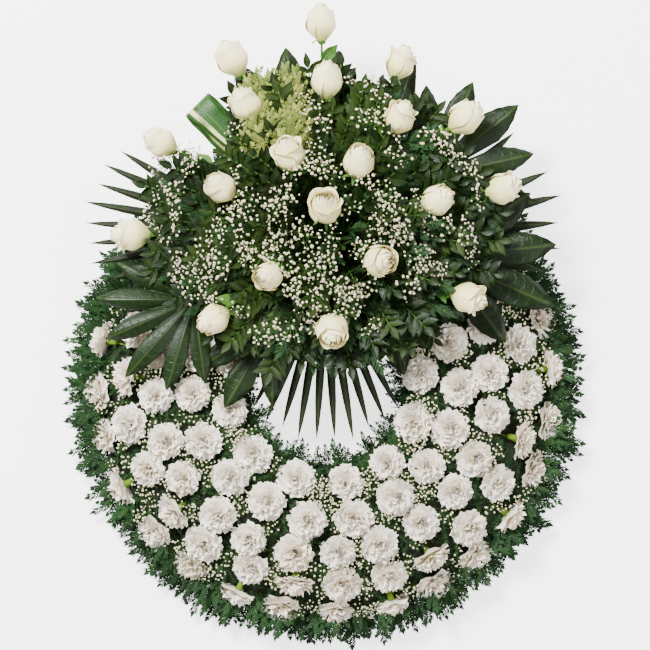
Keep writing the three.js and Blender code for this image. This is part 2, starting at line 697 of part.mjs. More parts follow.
// A leafy branch: a stem, side twigs turned round it, and leaves in pairs along each of them.
// What would touch another piece is left off.
function leafyBranch({ end, twigs, twigLength, leafLength, taken }) {
  const tip = vector(...end);
  const along = tip.clone().sub(HEART).normalize();
  const [u, v] = crossAxes(along);
  const bare = tip.distanceTo(HEART) - foamFace(along) - 8;
  const parts = [stemTo(tip, 2)];
  const shoot = (root, direction, length) => {
    const side = UP.clone().cross(direction).normalize();
    for (let i = 0; i <= LEAF_PAIRS; i++) {
      const place = root.clone().addScaledVector(direction, length * (1 - i / (LEAF_PAIRS + 0.4)));
      for (const hand of i ? [-1, 1] : [0]) {
        const way = direction.clone().addScaledVector(side, hand * 1.1).normalize();
        const from = place.clone().addScaledVector(direction, hand ? 0 : -4);
        const blade = (grow) => {
          const point = place.clone().addScaledVector(way, leafLength).addScaledVector(UP, 3 + grow);
          return leaf(from, point, leafLength * 0.4 + grow, UP);
        };
        if ([-2, 0, 2].every((grow) => apart(taken, blade(grow)))) parts.push(blade(0));
      }
    }
  };
  shoot(tip.clone().addScaledVector(along, -twigLength), along, twigLength);
  for (let i = 0; i < twigs; i++) {
    const turn = GOLDEN_TURN * i;
    const root = tip.clone().addScaledVector(along, -(bare * (i + 0.6)) / twigs);
    const direction = along
      .clone()
      .multiplyScalar(0.75)
      .addScaledVector(u, Math.cos(turn))
      .addScaledVector(v, Math.sin(turn));
    direction.z = 0.1 + 0.25 * Math.abs(direction.z);
    direction.normalize();
    for (let length = twigLength; length > 18; length -= 9) {
      const far = root.clone().addScaledVector(direction, length);
      if (far.z < LEAFY_FROM || far.z > LEAFY_TO || !apart(taken, rod(root, far, 3, 3))) continue;
      parts.push(rod(root, far, 1.2, 3));
      shoot(root, direction, length);
      break;
    }
  }
  return joined(parts);
}

// A fine branch with florets on it, as one closed skin: a waist, then a swelling for each floret.
function breathBranch(start, direction, length, radius, turn) {
  const [u, v] = crossAxes(direction);
  const ring = (share, size, sides, shift) => {
    const centre = around(start.clone().addScaledVector(direction, length * share), u, v, shift, turn);
    return Array.from({ length: sides }, (_, i) => around(centre, u, v, size, (2 * Math.PI * i) / sides));
  };
  const rings = [ring(0, 0.9, 3, 0)];
  for (let k = 0; k < FLORETS; k++) {
    const share = 1 - 0.28 * (FLORETS - 1 - k) - 3.4 / length;
    const shift = k % 2 ? 2 : -2;
    rings.push(ring(share - 4 / length, 0.9, 3, shift / 2), ring(share, radius, 4, shift));
  }
  rings.push([start.clone().addScaledVector(direction, length)]);
  return stack(rings);
}

// A spray of small white florets: each branch is as long as the room between the blooms allows.
function breathSpray({ end, reach, taken }) {
  const fork = vector(...end);
  const along = fork.clone().sub(HEART).normalize();
  const [u, v] = crossAxes(along);
  const parts = [stemTo(fork, 1.3)];
  for (let i = 0; i < SPRAY_BRANCHES; i++) {
    const turn = (2 * Math.PI * (i + spread(0.25))) / SPRAY_BRANCHES;
    const direction = around(along, u, v, 0.3 + 0.75 * random(), turn).normalize();
    const start = fork.clone().addScaledVector(along, -2 - 18 * random());
    for (let length = reach * (0.8 + 0.2 * random()); length > 26; length -= 8) {
      const room = breathBranch(start, direction, length + 2, FLORET_RADIUS + 2, turn);
      if (!apart(taken, room)) continue;
      parts.push(breathBranch(start, direction, length, FLORET_RADIUS, turn));
      break;
    }
  }
  return joined(parts);
}

const wreath = new THREE.Group();
const put = (solid, name, material) => wreath.add(meshOf(solid, name, material));

// Ring.
const sectors = Array.from({ length: FLOWER_SECTORS }, (_, k) => k);
const pinHoles = sectors.map((k) => pinOf(k, PIN.radius + STEM_CLEAR, STEM_CLEAR));
const bunches = sectors.map(carnationBunch);
put(strawForm().subtract(joined(pinHoles)), "straw_ring", materials.straw);
bunches.forEach((bunch, k) => put(bunch, "carnations_" + (k + 1), materials.carnation));
for (const k of sectors) {
  const from = -FLOWER_SPAN + k * SECTOR;
  const to = from + SECTOR;
  const near = bunches.slice(Math.max(0, k - 1), k + 2);
  const leaves = [...fringeLeaves(from, to, near, true), ...gapLeaves(from, to, near)];
  const cover = joined([mat(from, to, MAT_INNER), ...leaves]).subtract(pinHoles[k]);
  put(cover, "greens_" + (k + 1), materials.greens);
}

// Under the head the ring is only covered at its sides, where the greenery still shows.
const [right, left] = [FLOWER_SPAN, 360 - FLOWER_SPAN];
const ends = [bunches[0], bunches[FLOWER_SECTORS - 1]];
const underHead = [
  mat(right, right + SECTOR + 1, MAT_INNER),
  mat(right + SECTOR, left - SECTOR, MAT_BELOW_TRAY),
  mat(left - SECTOR - 1, left, MAT_INNER),
  ...fringeLeaves(right, right + SECTOR, ends, false),
  ...fringeLeaves(left - SECTOR, left, ends, false),
];
put(joined(underHead), "greens_under_head", materials.greens);

// Head.
const box = (limits) =>
  solidOf(
    new THREE.BoxGeometry(2 * limits.x, limits.y1 - limits.y0, limits.z1 - limits.z0).translate(
      0,
      (limits.y0 + limits.y1) / 2,
      (limits.z0 + limits.z1) / 2,
    ),
  );
put(box(TRAY).subtract(strawForm(MAT_GAP)), "head_tray", materials.tray);

const head = [];
const putHead = (solid, name, material) => {
  head.push(solid);
  put(solid, name, material);
};
for (const [name, plan] of Object.entries(PALMS)) putHead(fanPalm(plan), "palm_" + name, materials.palm);
for (const [name, plan] of Object.entries(HAND_LEAVES))
  putHead(handLeaf({ ...plan, ...HAND_LEAF_FORMS[name] }), "leaf_" + name, materials.leaf);
putHead(ovalLeaf(OVAL_LEAF), "leaf_top_right", materials.leaf);
putHead(rolledLeaf(ROLLED_LEAF), "leaf_rolled", materials.leaf);
ROSES.forEach((place, i) => putHead(rose(place, i), "rose_" + (i + 1), materials.rose));

// Branches and sprays fill the room that is left, and keep clear of each other's stems.
const clearRod = ({ end }) => {
  const tip = vector(...end);
  const along = tip.clone().sub(HEART).normalize();
  return rod(HEART.clone().addScaledVector(along, foamFace(along)), tip, 4, 4);
};
const fillers = [...Object.values(BRANCHES), ...Object.values(SPRAYS)];
const takenFor = (plan) => {
  const others = fillers.filter((filler) => filler !== plan);
  return joined([box(FOAM), ...head, ...others.map(clearRod)]);
};
for (const [name, plan] of Object.entries(BRANCHES))
  putHead(leafyBranch({ ...plan, taken: takenFor(plan) }), "branch_" + name, materials.leaf);
for (const [name, plan] of Object.entries(SPRAYS))
  putHead(breathSpray({ ...plan, taken: takenFor(plan) }), "breath_" + name, materials.breath);

const stemHole = ({ start, direction, radius }) => {
  const deep = start.clone().addScaledVector(direction, -STEM_CLEAR);
  return rod(deep, start.clone().addScaledVector(direction, 2 * STEM_DEPTH), radius + STEM_CLEAR, 3);
};
put(box(FOAM).subtract(joined(stems.map(stemHole))), "head_foam", materials.foam);

// The origin goes to the middle of the footprint, on the table.
const bounds = new THREE.Box3().setFromObject(wreath);
const middle = bounds.getCenter(vector(0, 0, 0));
wreath.position.set(-middle.x, -middle.y, -bounds.min.z);

export default wreath;
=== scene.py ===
# %% [markdown]
# # A funeral wreath, dressed leaf by leaf
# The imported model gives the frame: a straw ring, bunches of carnations, mats of greenery
# and a head of roses in wet foam. Here each of those solids is replaced by petals, leaves
# and stems in its place. Everything is in metres, the wreath lies on its back, +Z faces
# the viewer and +Y is the top.

# %% Load the frame
import math
import random
import bpy
import numpy as np
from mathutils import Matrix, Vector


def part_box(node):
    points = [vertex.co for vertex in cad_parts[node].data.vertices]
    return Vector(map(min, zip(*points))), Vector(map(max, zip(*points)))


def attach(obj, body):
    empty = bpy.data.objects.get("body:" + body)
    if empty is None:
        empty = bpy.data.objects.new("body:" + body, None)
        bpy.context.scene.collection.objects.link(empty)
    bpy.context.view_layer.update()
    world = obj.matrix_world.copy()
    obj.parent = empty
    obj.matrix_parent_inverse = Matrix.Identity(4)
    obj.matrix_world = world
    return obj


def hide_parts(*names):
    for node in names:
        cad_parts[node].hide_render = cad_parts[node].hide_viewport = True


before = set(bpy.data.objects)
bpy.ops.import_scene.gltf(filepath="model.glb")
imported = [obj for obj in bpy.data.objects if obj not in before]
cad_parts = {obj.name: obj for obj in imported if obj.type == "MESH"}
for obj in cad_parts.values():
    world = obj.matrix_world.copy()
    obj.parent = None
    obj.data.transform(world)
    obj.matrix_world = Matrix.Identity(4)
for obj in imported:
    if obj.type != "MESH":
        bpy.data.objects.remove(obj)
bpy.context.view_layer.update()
low, high = (np.array(corner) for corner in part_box("straw_ring"))
CENTRE = (low + high) / 2
CENTRE[2] = 0

# %% [markdown]
# ## The ring's section
# A florist's straw form has a flat back, an upright inner side and a long outer slope.
# The section is a bent half ellipse. `on_ring` gives a place on it and the direction that
# points away from the straw. The model is faceted, so the same facets are used here, and a
# flower lands exactly where its solid stands.

# %% Places on the ring
CREST, INNER_HALF, OUTER_HALF, RING_HEIGHT = 0.175, 0.045, 0.185, 0.092
PROFILE = [0, 6, 18, 30, 44, 60, 78, 94, 112, 150, 180]
FACET = 15


def outwards(theta):
    turn = math.radians(theta)
    return np.array([math.sin(turn), -math.cos(turn), 0.0])


def section(degrees, lift=0.0):
    c, s = math.cos(math.radians(degrees)), max(0.0, math.sin(math.radians(degrees)))
    power, half = (0.6, INNER_HALF) if degrees > 90 else (1.0, OUTER_HALF)
    hand = math.copysign(1, c)
    normal = np.array([hand * abs(c) ** (2 - power) / half, s ** (2 - power) / RING_HEIGHT])
    normal /= np.linalg.norm(normal)
    across = CREST + hand * half * abs(c) ** power
    return across + normal[0] * lift, RING_HEIGHT * s ** power + normal[1] * lift, normal


def on_ring(theta, degrees, lift):
    i = max(k for k in range(len(PROFILE) - 1) if PROFILE[k] <= max(degrees, 0))
    share = (degrees - PROFILE[i]) / (PROFILE[i + 1] - PROFILE[i])
    a, b = section(PROFILE[i], lift), section(PROFILE[i + 1], lift)
    r, z = a[0] + (b[0] - a[0]) * share, a[1] + (b[1] - a[1]) * share
    facet = math.floor(theta / FACET) * FACET
    part = (theta - facet) / FACET
    place = r * (outwards(facet) * (1 - part) + outwards(facet + FACET) * part)
    place[2] = z
    normal = section(degrees)[2]
    return CENTRE + place, outwards(theta) * normal[0] + np.array([0, 0, normal[1]])


print("crest", on_ring(0, 90, 0)[0].round(3))

# %% [markdown]
# ## Helpers for copies
# A wreath is hundreds of copies of a few shapes. Each shape is modelled once, and
# `planted` lays its copies out and joins them into one mesh with its own vertices.
# Every copy carries a number, `tone`, that its material reads for a slightly different
# colour, as no two leaves on a plant are alike.

# %% Copies of a modelled shape
UP = np.array([0.0, 0.0, 1.0])


def unit(v):
    return v / np.linalg.norm(v)


def lay(origin, along, face, size=1.0, wide=None):
    x = unit(np.asarray(along, float))
    z = unit(face - x * np.dot(face, x))
    wide = size if wide is None else wide
    return np.column_stack([x * size, np.cross(z, x) * wide, z * size, origin])


def stand(origin, axis, roll=0.0, size=1.0):
    z = unit(np.asarray(axis, float))
    side = unit(np.cross(z, [0, 1, 0] if abs(z[1]) < 0.9 else [1, 0, 0]))
    x = side * math.cos(roll) + np.cross(z, side) * math.sin(roll)
    return lay(origin, x, z, size)


def numbers(source, field, count, kind):
    values = np.empty(count, kind)
    source.foreach_get(field, values)
    return values


def read(shape):
    m = shape.data
    loops = len(m.loops)
    return {
        "co": numbers(m.vertices, "co", len(m.vertices) * 3, np.float32).reshape(-1, 3),
        "loops": numbers(m.loops, "vertex_index", loops, np.int32),
        "total": numbers(m.polygons, "loop_total", len(m.polygons), np.int32),
        "slot": numbers(m.polygons, "material_index", len(m.polygons), np.int32),
        "uv": numbers(m.uv_layers.active.data, "uv", loops * 2, np.float32),
        "materials": list(m.materials),
    }


FLOOR_GAP = 0.0004  # no copy dips under the table


def planted(name, beds, nodes=()):
    """beds: (shape, placings, tones) for each shape in the piece."""
    co, loops, total, slots, uv, tone, materials = [], [], [], [], [], [], []
    start = 0
    for shape, placings, tones in beds:
        if not len(placings):
            continue
        one = read(shape)
        m = np.asarray(placings, np.float32)
        count, size = len(m), len(one["co"])
        spots = np.einsum("kij,nj->kni", m[:, :, :3], one["co"]) + m[:, None, :, 3]
        co.append(spots.reshape(-1, 3))
        offsets = start + np.arange(count)[:, None] * size
        loops.append((one["loops"][None] + offsets).ravel())
        total.append(np.tile(one["total"], count))
        for material in one["materials"]:
            if material not in materials:
                materials.append(material)
        lookup = np.array([materials.index(material) for material in one["materials"]])
        slots.append(np.tile(lookup[one["slot"]], count))
        uv.append(np.tile(one["uv"], count))
        tone.append(np.repeat(np.asarray(tones, np.float32), size))
        start += count * size
    co, loops, total = np.concatenate(co), np.concatenate(loops), np.concatenate(total)
    co[:, 2] = np.maximum(co[:, 2], FLOOR_GAP)
    mesh = bpy.data.meshes.new(name)
    mesh.vertices.add(len(co))
    mesh.vertices.foreach_set("co", co.ravel())
    mesh.loops.add(len(loops))
    mesh.loops.foreach_set("vertex_index", loops.astype(np.int32))
    mesh.polygons.add(len(total))
    starts = np.concatenate([[0], np.cumsum(total)[:-1]]).astype(np.int32)
    mesh.polygons.foreach_set("loop_start", starts)
    mesh.polygons.foreach_set("material_index", np.concatenate(slots).astype(np.int32))
    mesh.polygons.foreach_set("use_smooth", np.ones(len(total), bool))
    mesh.update(calc_edges=True)
    mesh.uv_layers.new(name="UVMap").data.foreach_set("uv", np.concatenate(uv))
    mesh.attributes.new("tone", "FLOAT", "POINT").data.foreach_set("value", np.concatenate(tone))
    for material in materials:
        mesh.materials.append(material)
    piece = bpy.data.objects.new(name, mesh)
    bpy.context.collection.objects.link(piece)
    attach(piece, "root")
    if nodes:
        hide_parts(*nodes)
    triangles = int((total - 2).sum())
    COUNTS[name] = triangles
    print(name, triangles, "triangles")


COUNTS = {}
chance = random.Random(20260)

# %% [markdown]
# ## Sheets shaped
# Petals and leaves are thin curved sheets. Each starts as a grid primitive with its own UV
# map: u runs across the sheet and v along it. `shaped` then moves every point of the grid
# to where a formula of u and v puts it, like bending a paper cut-out. Edit-mode operators
# would need dozens of moves for each frill, so the formula is the tool.

# %% A grid, bent
def deselect():
    for item in bpy.context.selected_objects:
        item.select_set(False)


def shaped(name, across, along, form, material):
    """form(u, v) takes arrays from -1 to 1 and 0 to 1, and gives x, y and z in metres."""
    deselect()
    bpy.ops.mesh.primitive_grid_add(x_subdivisions=across, y_subdivisions=along, size=2)
    sheet = bpy.context.active_object
    sheet.name = name
    spots = numbers(sheet.data.vertices, "co", len(sheet.data.vertices) * 3, np.float32).reshape(-1, 3)
    x, y, z = form(spots[:, 0].copy(), (spots[:, 1] + 1) / 2)
    sheet.data.vertices.foreach_set("co", np.column_stack([x, y, z]).astype(np.float32).ravel())
    sheet.data.materials.append(material)
    sheet.data.update()
    return sheet


def as_one(name, parts):
    """Joins modelled shapes with Blender's join operator."""
    deselect()
    for part in parts:
        part.select_set(True)
    bpy.context.view_layer.objects.active = parts[0]
    bpy.ops.object.join()
    parts[0].name = name
    return parts[0]


def moved(shape, matrix):
    """A copy of a shape with its own mesh, moved by a 3 by 4 placing."""
    copy = shape.copy()
    copy.data = shape.data.copy()
    bpy.context.collection.objects.link(copy)
    spots = numbers(copy.data.vertices, "co", len(copy.data.vertices) * 3, np.float32).reshape(-1, 3)
    spots = spots @ matrix[:, :3].T + matrix[:, 3]
    copy.data.vertices.foreach_set("co", spots.astype(np.float32).ravel())
    return copy


def put_away(*shapes):
    """Removes the shapes that were only modelled to be copied."""
    for shape in shapes:
        bpy.data.objects.remove(shape, do_unlink=True)


# %% [markdown]
# ## Finishes
# Plants are never one flat colour. Each finish mixes two or three colours by noise
# at the size of the real mottling, by the copy's own `tone`, and along the sheet by its UV
# map. A short list of node helpers keeps every material readable.

# %% Node helpers
def new_material(name, roughness, **sockets):
    material = bpy.data.materials.new(name)
    material.use_nodes = True
    tree = material.node_tree
    surface = tree.nodes["Principled BSDF"]
    surface.inputs["Roughness"].default_value = roughness
    for socket, value in sockets.items():
        surface.inputs[socket.replace("_", " ")].default_value = value
    return material, tree, surface


def add(tree, kind, **inputs):
    item = tree.nodes.new(kind)
    for key, value in inputs.items():
        socket = item.inputs[int(key[1:])] if key[1:].isdigit() else item.inputs[key.replace("_", " ")]
        if isinstance(value, bpy.types.NodeSocket):
            tree.links.new(value, socket)
        else:
            socket.default_value = value
    return item


def maths(tree, operation, *values):
    item = tree.nodes.new("ShaderNodeMath")
    item.operation = operation
    for socket, value in zip(item.inputs, values):
        if isinstance(value, bpy.types.NodeSocket):
            tree.links.new(value, socket)
        else:
            socket.default_value = value
    return item.outputs[0]


def mixed(tree, factor, first, second, blend="MIX"):
    item = tree.nodes.new("ShaderNodeMix")
    item.data_type = "RGBA"
    item.blend_type = blend
    for index, value in ((0, factor), (6, first), (7, second)):
        if isinstance(value, bpy.types.NodeSocket):
            tree.links.new(value, item.inputs[index])
        else:
            item.inputs[index].default_value = value if index == 0 else (*value, 1)
    return item.outputs[2]


def mottle(tree, scale, low_end, high_end, detail=4.0):
    place = add(tree, "ShaderNodeTexCoord").outputs["Object"]
    noise = add(tree, "ShaderNodeTexNoise", Vector=place, Scale=scale, Detail=detail)
    spread = add(tree, "ShaderNodeMapRange", Value=noise.outputs["Fac"], i1=low_end, i2=high_end)
    return spread.outputs[0]


def tone_of(tree):
    item = tree.nodes.new("ShaderNodeAttribute")
    item.attribute_name = "tone"
    return item.outputs["Fac"]


def across_and_along(tree):
    item = tree.nodes.new("ShaderNodeUVMap")
    item.uv_map = "UVMap"
    parts = add(tree, "ShaderNodeSeparateXYZ", Vector=item.outputs["UV"])
    return parts.outputs["X"], parts.outputs["Y"]


def relief(tree, surface, height, strength, distance):
    bump = add(tree, "ShaderNodeBump", Height=height, Strength=strength, Distance=distance)
    tree.links.new(bump.outputs["Normal"], surface.inputs["Normal"])


# %% [markdown]
# ### Carnation petals
# A white carnation is cream in its depths and straw yellow where a petal narrows to its
# claw. Fine veins run out to the frilled edge. Light passes through the petals, so the
# shader scatters it below the surface. The default radius would turn the shadows pink,
# so the scattering is made almost even, and the petals get no shine.

# %% Carnation finish
def carnation_finish():
    material, tree, surface = new_material("carnation_petal", 0.8, Subsurface_Weight=0.4,
                                           Subsurface_Scale=0.006, Subsurface_Radius=(1.0, 0.85, 0.6),
                                           Sheen_Weight=0.15)
    u, v = across_and_along(tree)
    depth = add(tree, "ShaderNodeMapRange", Value=v, i1=0.15, i2=0.75).outputs[0]
    body = mixed(tree, depth, (0.86, 0.74, 0.38), (0.92, 0.83, 0.70))
    body = mixed(tree, maths(tree, "MULTIPLY", tone_of(tree), 0.45), body, (0.93, 0.88, 0.80))
    body = mixed(tree, maths(tree, "MULTIPLY", mottle(tree, 60, 0.45, 0.75), 0.5), body, (0.90, 0.79, 0.62))
    tree.links.new(body, surface.inputs["Base Color"])
    veins = maths(tree, "SINE", maths(tree, "MULTIPLY", u, 70.0))
    rough = maths(tree, "ADD", maths(tree, "MULTIPLY", veins, 0.3), mottle(tree, 900, 0.3, 0.7))
    relief(tree, surface, rough, 0.2, 0.0006)
    return material


CARNATION = carnation_finish()
print("finish", CARNATION.name)

# %% [markdown]
# ### Rose petals
# Roses are ivory: warmer and smoother than carnations, with a green cast at the foot of
# the outer petals and a warm yellow where light is caught between them.

# %% Rose finish
def rose_finish():
    material, tree, surface = new_material("rose_petal", 0.5, Subsurface_Weight=0.15,
                                           Subsurface_Scale=0.004, Subsurface_Radius=(1.0, 0.85, 0.5),
                                           Sheen_Weight=0.08)
    u, v = across_and_along(tree)
    height = add(tree, "ShaderNodeMapRange", Value=v, i1=0.02, i2=0.5).outputs[0]
    body = mixed(tree, height, (0.50, 0.56, 0.14), (0.88, 0.78, 0.36))
    edge = add(tree, "ShaderNodeMapRange", Value=v, i1=0.6, i2=1.0).outputs[0]
    body = mixed(tree, maths(tree, "MULTIPLY", edge, 0.8), body, (0.93, 0.875, 0.58))
    body = mixed(tree, maths(tree, "MULTIPLY", mottle(tree, 45, 0.5, 0.8), 0.5), body, (0.82, 0.70, 0.28))
    tree.links.new(body, surface.inputs["Base Color"])
    veins = maths(tree, "SINE", maths(tree, "MULTIPLY", u, 90.0))
    rough = maths(tree, "ADD", maths(tree, "MULTIPLY", veins, 0.15), mottle(tree, 500, 0.3, 0.7))
    relief(tree, surface, rough, 0.2, 0.0006)
    return material


ROSE = rose_finish()
print("finish", ROSE.name)

# %% [markdown]
# ### Leaves
# The large leaves are almost black green and glossy, with a paler rib and side veins that
# run forward from it. The same builder makes every green, with its own colours, gloss and
# vein strength, because all of them are a blade with a rib along the middle of its UV map.

# %% Leaf finishes
def leaf_finish(name, deep, fresh, vein, rough, veins=0.5, ribs=11.0, mottling=70, stripe=None):
    material, tree, surface = new_material(name, rough, Specular_IOR_Level=0.2)
    u, v = across_and_along(tree)
    off = maths(tree, "ABSOLUTE", maths(tree, "SUBTRACT", u, 0.5))
    rib = add(tree, "ShaderNodeMapRange", Value=off, i1=0.045, i2=0.012).outputs[0]
    slant = maths(tree, "SUBTRACT", maths(tree, "MULTIPLY", v, ribs), maths(tree, "MULTIPLY", off, 7.0))
    wave = maths(tree, "ABSOLUTE", maths(tree, "SUBTRACT", maths(tree, "FRACT", slant), 0.5))
    side = add(tree, "ShaderNodeMapRange", Value=wave, i1=0.07, i2=0.0).outputs[0]
    body = mixed(tree, mottle(tree, mottling, 0.3, 0.75), deep, fresh)
    body = mixed(tree, tone_of(tree), mixed(tree, 0.6, body, deep), mixed(tree, 0.4, body, fresh))
    if stripe:
        aside = maths(tree, "ABSOLUTE", maths(tree, "SUBTRACT", u, 0.8))
        band = add(tree, "ShaderNodeMapRange", Value=aside, i1=0.10, i2=0.06).outputs[0]
        body = mixed(tree, maths(tree, "MULTIPLY", band, mottle(tree, 30, 0.2, 0.5)), body, stripe)
    lines = maths(tree, "MAXIMUM", rib, maths(tree, "MULTIPLY", side, 0.5))
    body = mixed(tree, maths(tree, "MULTIPLY", lines, veins), body, vein)
    tree.links.new(body, surface.inputs["Base Color"])
    gloss = add(tree, "ShaderNodeMapRange", Value=mottle(tree, 160, 0.2, 0.8), i3=rough * 0.8, i4=rough * 1.3)
    tree.links.new(gloss.outputs[0], surface.inputs["Roughness"])
    height = maths(tree, "SUBTRACT", mottle(tree, 380, 0.2, 0.8), maths(tree, "MULTIPLY", lines, 1.6))
    relief(tree, surface, height, 0.35, 0.0012)
    return material


DARK_LEAF = leaf_finish("dark_leaf", (0.0015, 0.006, 0.001), (0.009, 0.025, 0.003),
                        (0.038, 0.066, 0.012), 0.38)
PALM_LEAF = leaf_finish("palm_leaf", (0.004, 0.008, 0.0015), (0.013, 0.024, 0.004), (0.03, 0.05, 0.010), 0.5)
STRAP_LEAF = leaf_finish("strap_leaf", (0.003, 0.024, 0.004), (0.030, 0.10, 0.012), (0.1, 0.2, 0.05), 0.35,
                         stripe=(0.62, 0.62, 0.28))
SPRAY_LEAF = leaf_finish("spray_leaf", (0.003, 0.011, 0.001), (0.021, 0.044, 0.004), (0.07, 0.10, 0.015), 0.5)
ROSE_LEAF = leaf_finish("rose_leaf", (0.01, 0.06, 0.006), (0.08, 0.20, 0.02), (0.2, 0.3, 0.06), 0.45)
FEATHER = leaf_finish("feathery_green", (0.002, 0.012, 0.002), (0.022, 0.070, 0.018),
                      (0.06, 0.12, 0.04), 0.65, veins=0.3, mottling=25)
GOLDEN = leaf_finish("golden_green", (0.05, 0.10, 0.010), (0.34, 0.36, 0.08),
                     (0.5, 0.5, 0.18), 0.6, veins=0.3, mottling=40)
CALYX = leaf_finish("calyx_green", (0.05, 0.11, 0.006), (0.14, 0.24, 0.015),
                    (0.25, 0.36, 0.05), 0.55, veins=0.2)
STALK = leaf_finish("stalk_green", (0.015, 0.05, 0.008), (0.06, 0.14, 0.02), (0.1, 0.2, 0.05), 0.5, veins=0.0)
print("leaf finishes", 9)

# %% [markdown]
# ### Moss, straw, foam, tray and florets
# Moss is a felt of tiny stems, straw is a bundle of dry stalks under twine, and wet foam
# is a mass of fine open cells. Their relief is noise at each one's own scale.

# %% Plain finishes with relief
def grainy_finish(name, deep, pale, rough, scale, strength, distance, stretch=(1, 1, 1), third=None):
    material, tree, surface = new_material(name, rough)
    place = add(tree, "ShaderNodeTexCoord").outputs["Object"]
    place = add(tree, "ShaderNodeMapping", Vector=place, Scale=stretch).outputs["Vector"]
    grain = add(tree, "ShaderNodeTexNoise", Vector=place, Scale=scale, Detail=6.0, Roughness=0.65)
    share = add(tree, "ShaderNodeMapRange", Value=grain.outputs["Fac"], i1=0.32, i2=0.68).outputs[0]
    body = mixed(tree, share, deep, pale)
    if third:
        body = mixed(tree, mottle(tree, scale / 12, 0.45, 0.75), body, third)
    tree.links.new(body, surface.inputs["Base Color"])
    relief(tree, surface, share, strength, distance)
    return material


MOSS = grainy_finish("moss", (0.003, 0.008, 0.003), (0.016, 0.030, 0.010), 0.95, 700, 1.0, 0.003,
                     third=(0.022, 0.022, 0.010))
STRAW = grainy_finish("straw", (0.13, 0.085, 0.03), (0.50, 0.38, 0.17), 0.8, 160, 0.9, 0.003, (1, 1, 5),
                      third=(0.30, 0.24, 0.12))
TWINE = grainy_finish("twine", (0.25, 0.19, 0.11), (0.55, 0.46, 0.30), 0.9, 900, 0.6, 0.0006)
FOAM = grainy_finish("wet_foam", (0.010, 0.040, 0.016), (0.045, 0.12, 0.05), 0.9, 1400, 0.8, 0.001)
TRAY = grainy_finish("tray_plastic", (0.005, 0.022, 0.010), (0.010, 0.034, 0.015), 0.45, 250, 0.12, 0.0004)
FLORET = grainy_finish("floret", (0.42, 0.37, 0.19), (0.89, 0.82, 0.60), 0.7, 900, 0.6, 0.0005)
print("grainy finishes", 6)

# %% [markdown]
# ## The straw ring
# The form is rye straw pressed into a ring and bound with twine. A profile is spun round
# the middle with the Spin operator, as a potter throws a ring. The Screw modifier would do
# the same, but Spin leaves a plain mesh whose seam is merged at once. Its windings are one
# torus, shaped to the section and copied round. They show a little at the ring's foot.

# %% Spin the straw
def ring_profile(lift):
    return [section(float(d), lift)[:2] for d in np.linspace(0, 180, 25)]


deselect()
bpy.ops.mesh.primitive_circle_add(vertices=26, radius=0.05, location=(0, 0, 0))
straw = bpy.context.active_object
straw.name = "straw_form"
STRAW_FOOT = 0.0008
outline = ring_profile(-0.001) + [(CREST + 0.05, STRAW_FOOT)]
for vertex, (r, z) in zip(straw.data.vertices, outline):
    vertex.co = (CENTRE[0] + r, CENTRE[1], max(z, STRAW_FOOT))
bpy.ops.object.mode_set(mode="EDIT")
bpy.ops.mesh.select_all(action="SELECT")
bpy.ops.mesh.spin(steps=120, angle=math.tau, center=tuple(CENTRE), axis=(0, 0, 1))
bpy.ops.mesh.select_all(action="SELECT")
bpy.ops.mesh.remove_doubles(threshold=0.0003)
bpy.ops.mesh.normals_make_consistent(inside=False)
bpy.ops.object.mode_set(mode="OBJECT")
bpy.ops.object.shade_smooth()
straw.data.materials.append(STRAW)
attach(straw, "root")
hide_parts("straw_ring")
print("straw form", len(straw.data.polygons), "faces")

# %% [markdown]
# The twine's path is the same section, closed along the flat back. A thin torus gives the
# cord, and each of its points moves to that path.

# %% Wind the twine
def twine_loop():
    deselect()
    bpy.ops.mesh.primitive_torus_add(major_segments=36, minor_segments=4, major_radius=1.0,
                                     minor_radius=0.0011)
    loop = bpy.context.active_object
    path = np.array(ring_profile(0.0006) + [(CREST + t, 0.0012) for t in np.linspace(-0.04, 0.18, 11)])
    loop.data.materials.append(TWINE)
    for vertex in loop.data.vertices:
        x, y, z = vertex.co
        share = (math.atan2(y, x) / math.tau % 1.0) * len(path)
        a, b = path[int(share) % len(path)], path[(int(share) + 1) % len(path)]
        r, height = a + (b - a) * (share % 1.0)
        away = unit(np.array([b[1] - a[1], a[0] - b[0]]))
        out = math.hypot(x, y) - 1.0
        vertex.co = (r + away[0] * out, z, height + away[1] * out)
    return loop


WINDINGS = 64
loop = twine_loop()
turns = []
for k in range(WINDINGS):
    turn = math.tau * (k + chance.uniform(-0.2, 0.2)) / WINDINGS
    turns.append(lay(CENTRE, (math.cos(turn), math.sin(turn), 0), UP))
planted("straw_twine", [(loop, turns, [0.5] * len(turns))])
put_away(loop)

# %% [markdown]
# ## Carnations
# A carnation is many frilled petals bursting from a long green calyx, here in seven
# layers. The outer ones lie almost flat, the inner ones stand up and crumple. Each petal
# is modelled with a toothed, waved edge and turned round the calyx. The petals are joined
# into four different blooms, and those are planted on the ring.

# %% A petal of a given layer
def carnation_petal(length, width, start, finish, frill, phase):
    def form(u, v):
        lean = np.radians(start + (finish - start) * v)
        reach = length * v
        tooth = 1 + 0.055 * np.sign(np.sin(u * 13 + phase)) * (v > 0.9) - 0.16 * u ** 2 * v
        x = 0.002 + reach * np.cos(lean) * tooth
        z = reach * np.sin(lean) * tooth
        z += frill * v ** 2.5 * np.sin(u * 4.2 + phase) + 0.35 * frill * v ** 4 * np.sin(u * 11 + 2 * phase)
        x += 0.5 * frill * v ** 3 * np.cos(u * 6 + phase)
        y = width * u * (0.12 + 0.88 * np.sin(v * 1.4) ** 0.9) + 0.2 * frill * v ** 3 * np.sin(u * 9 + phase)
        return x, y, z + 0.12 * width * u ** 2 * v
    return shaped("petal", 8, 4, form, CARNATION)


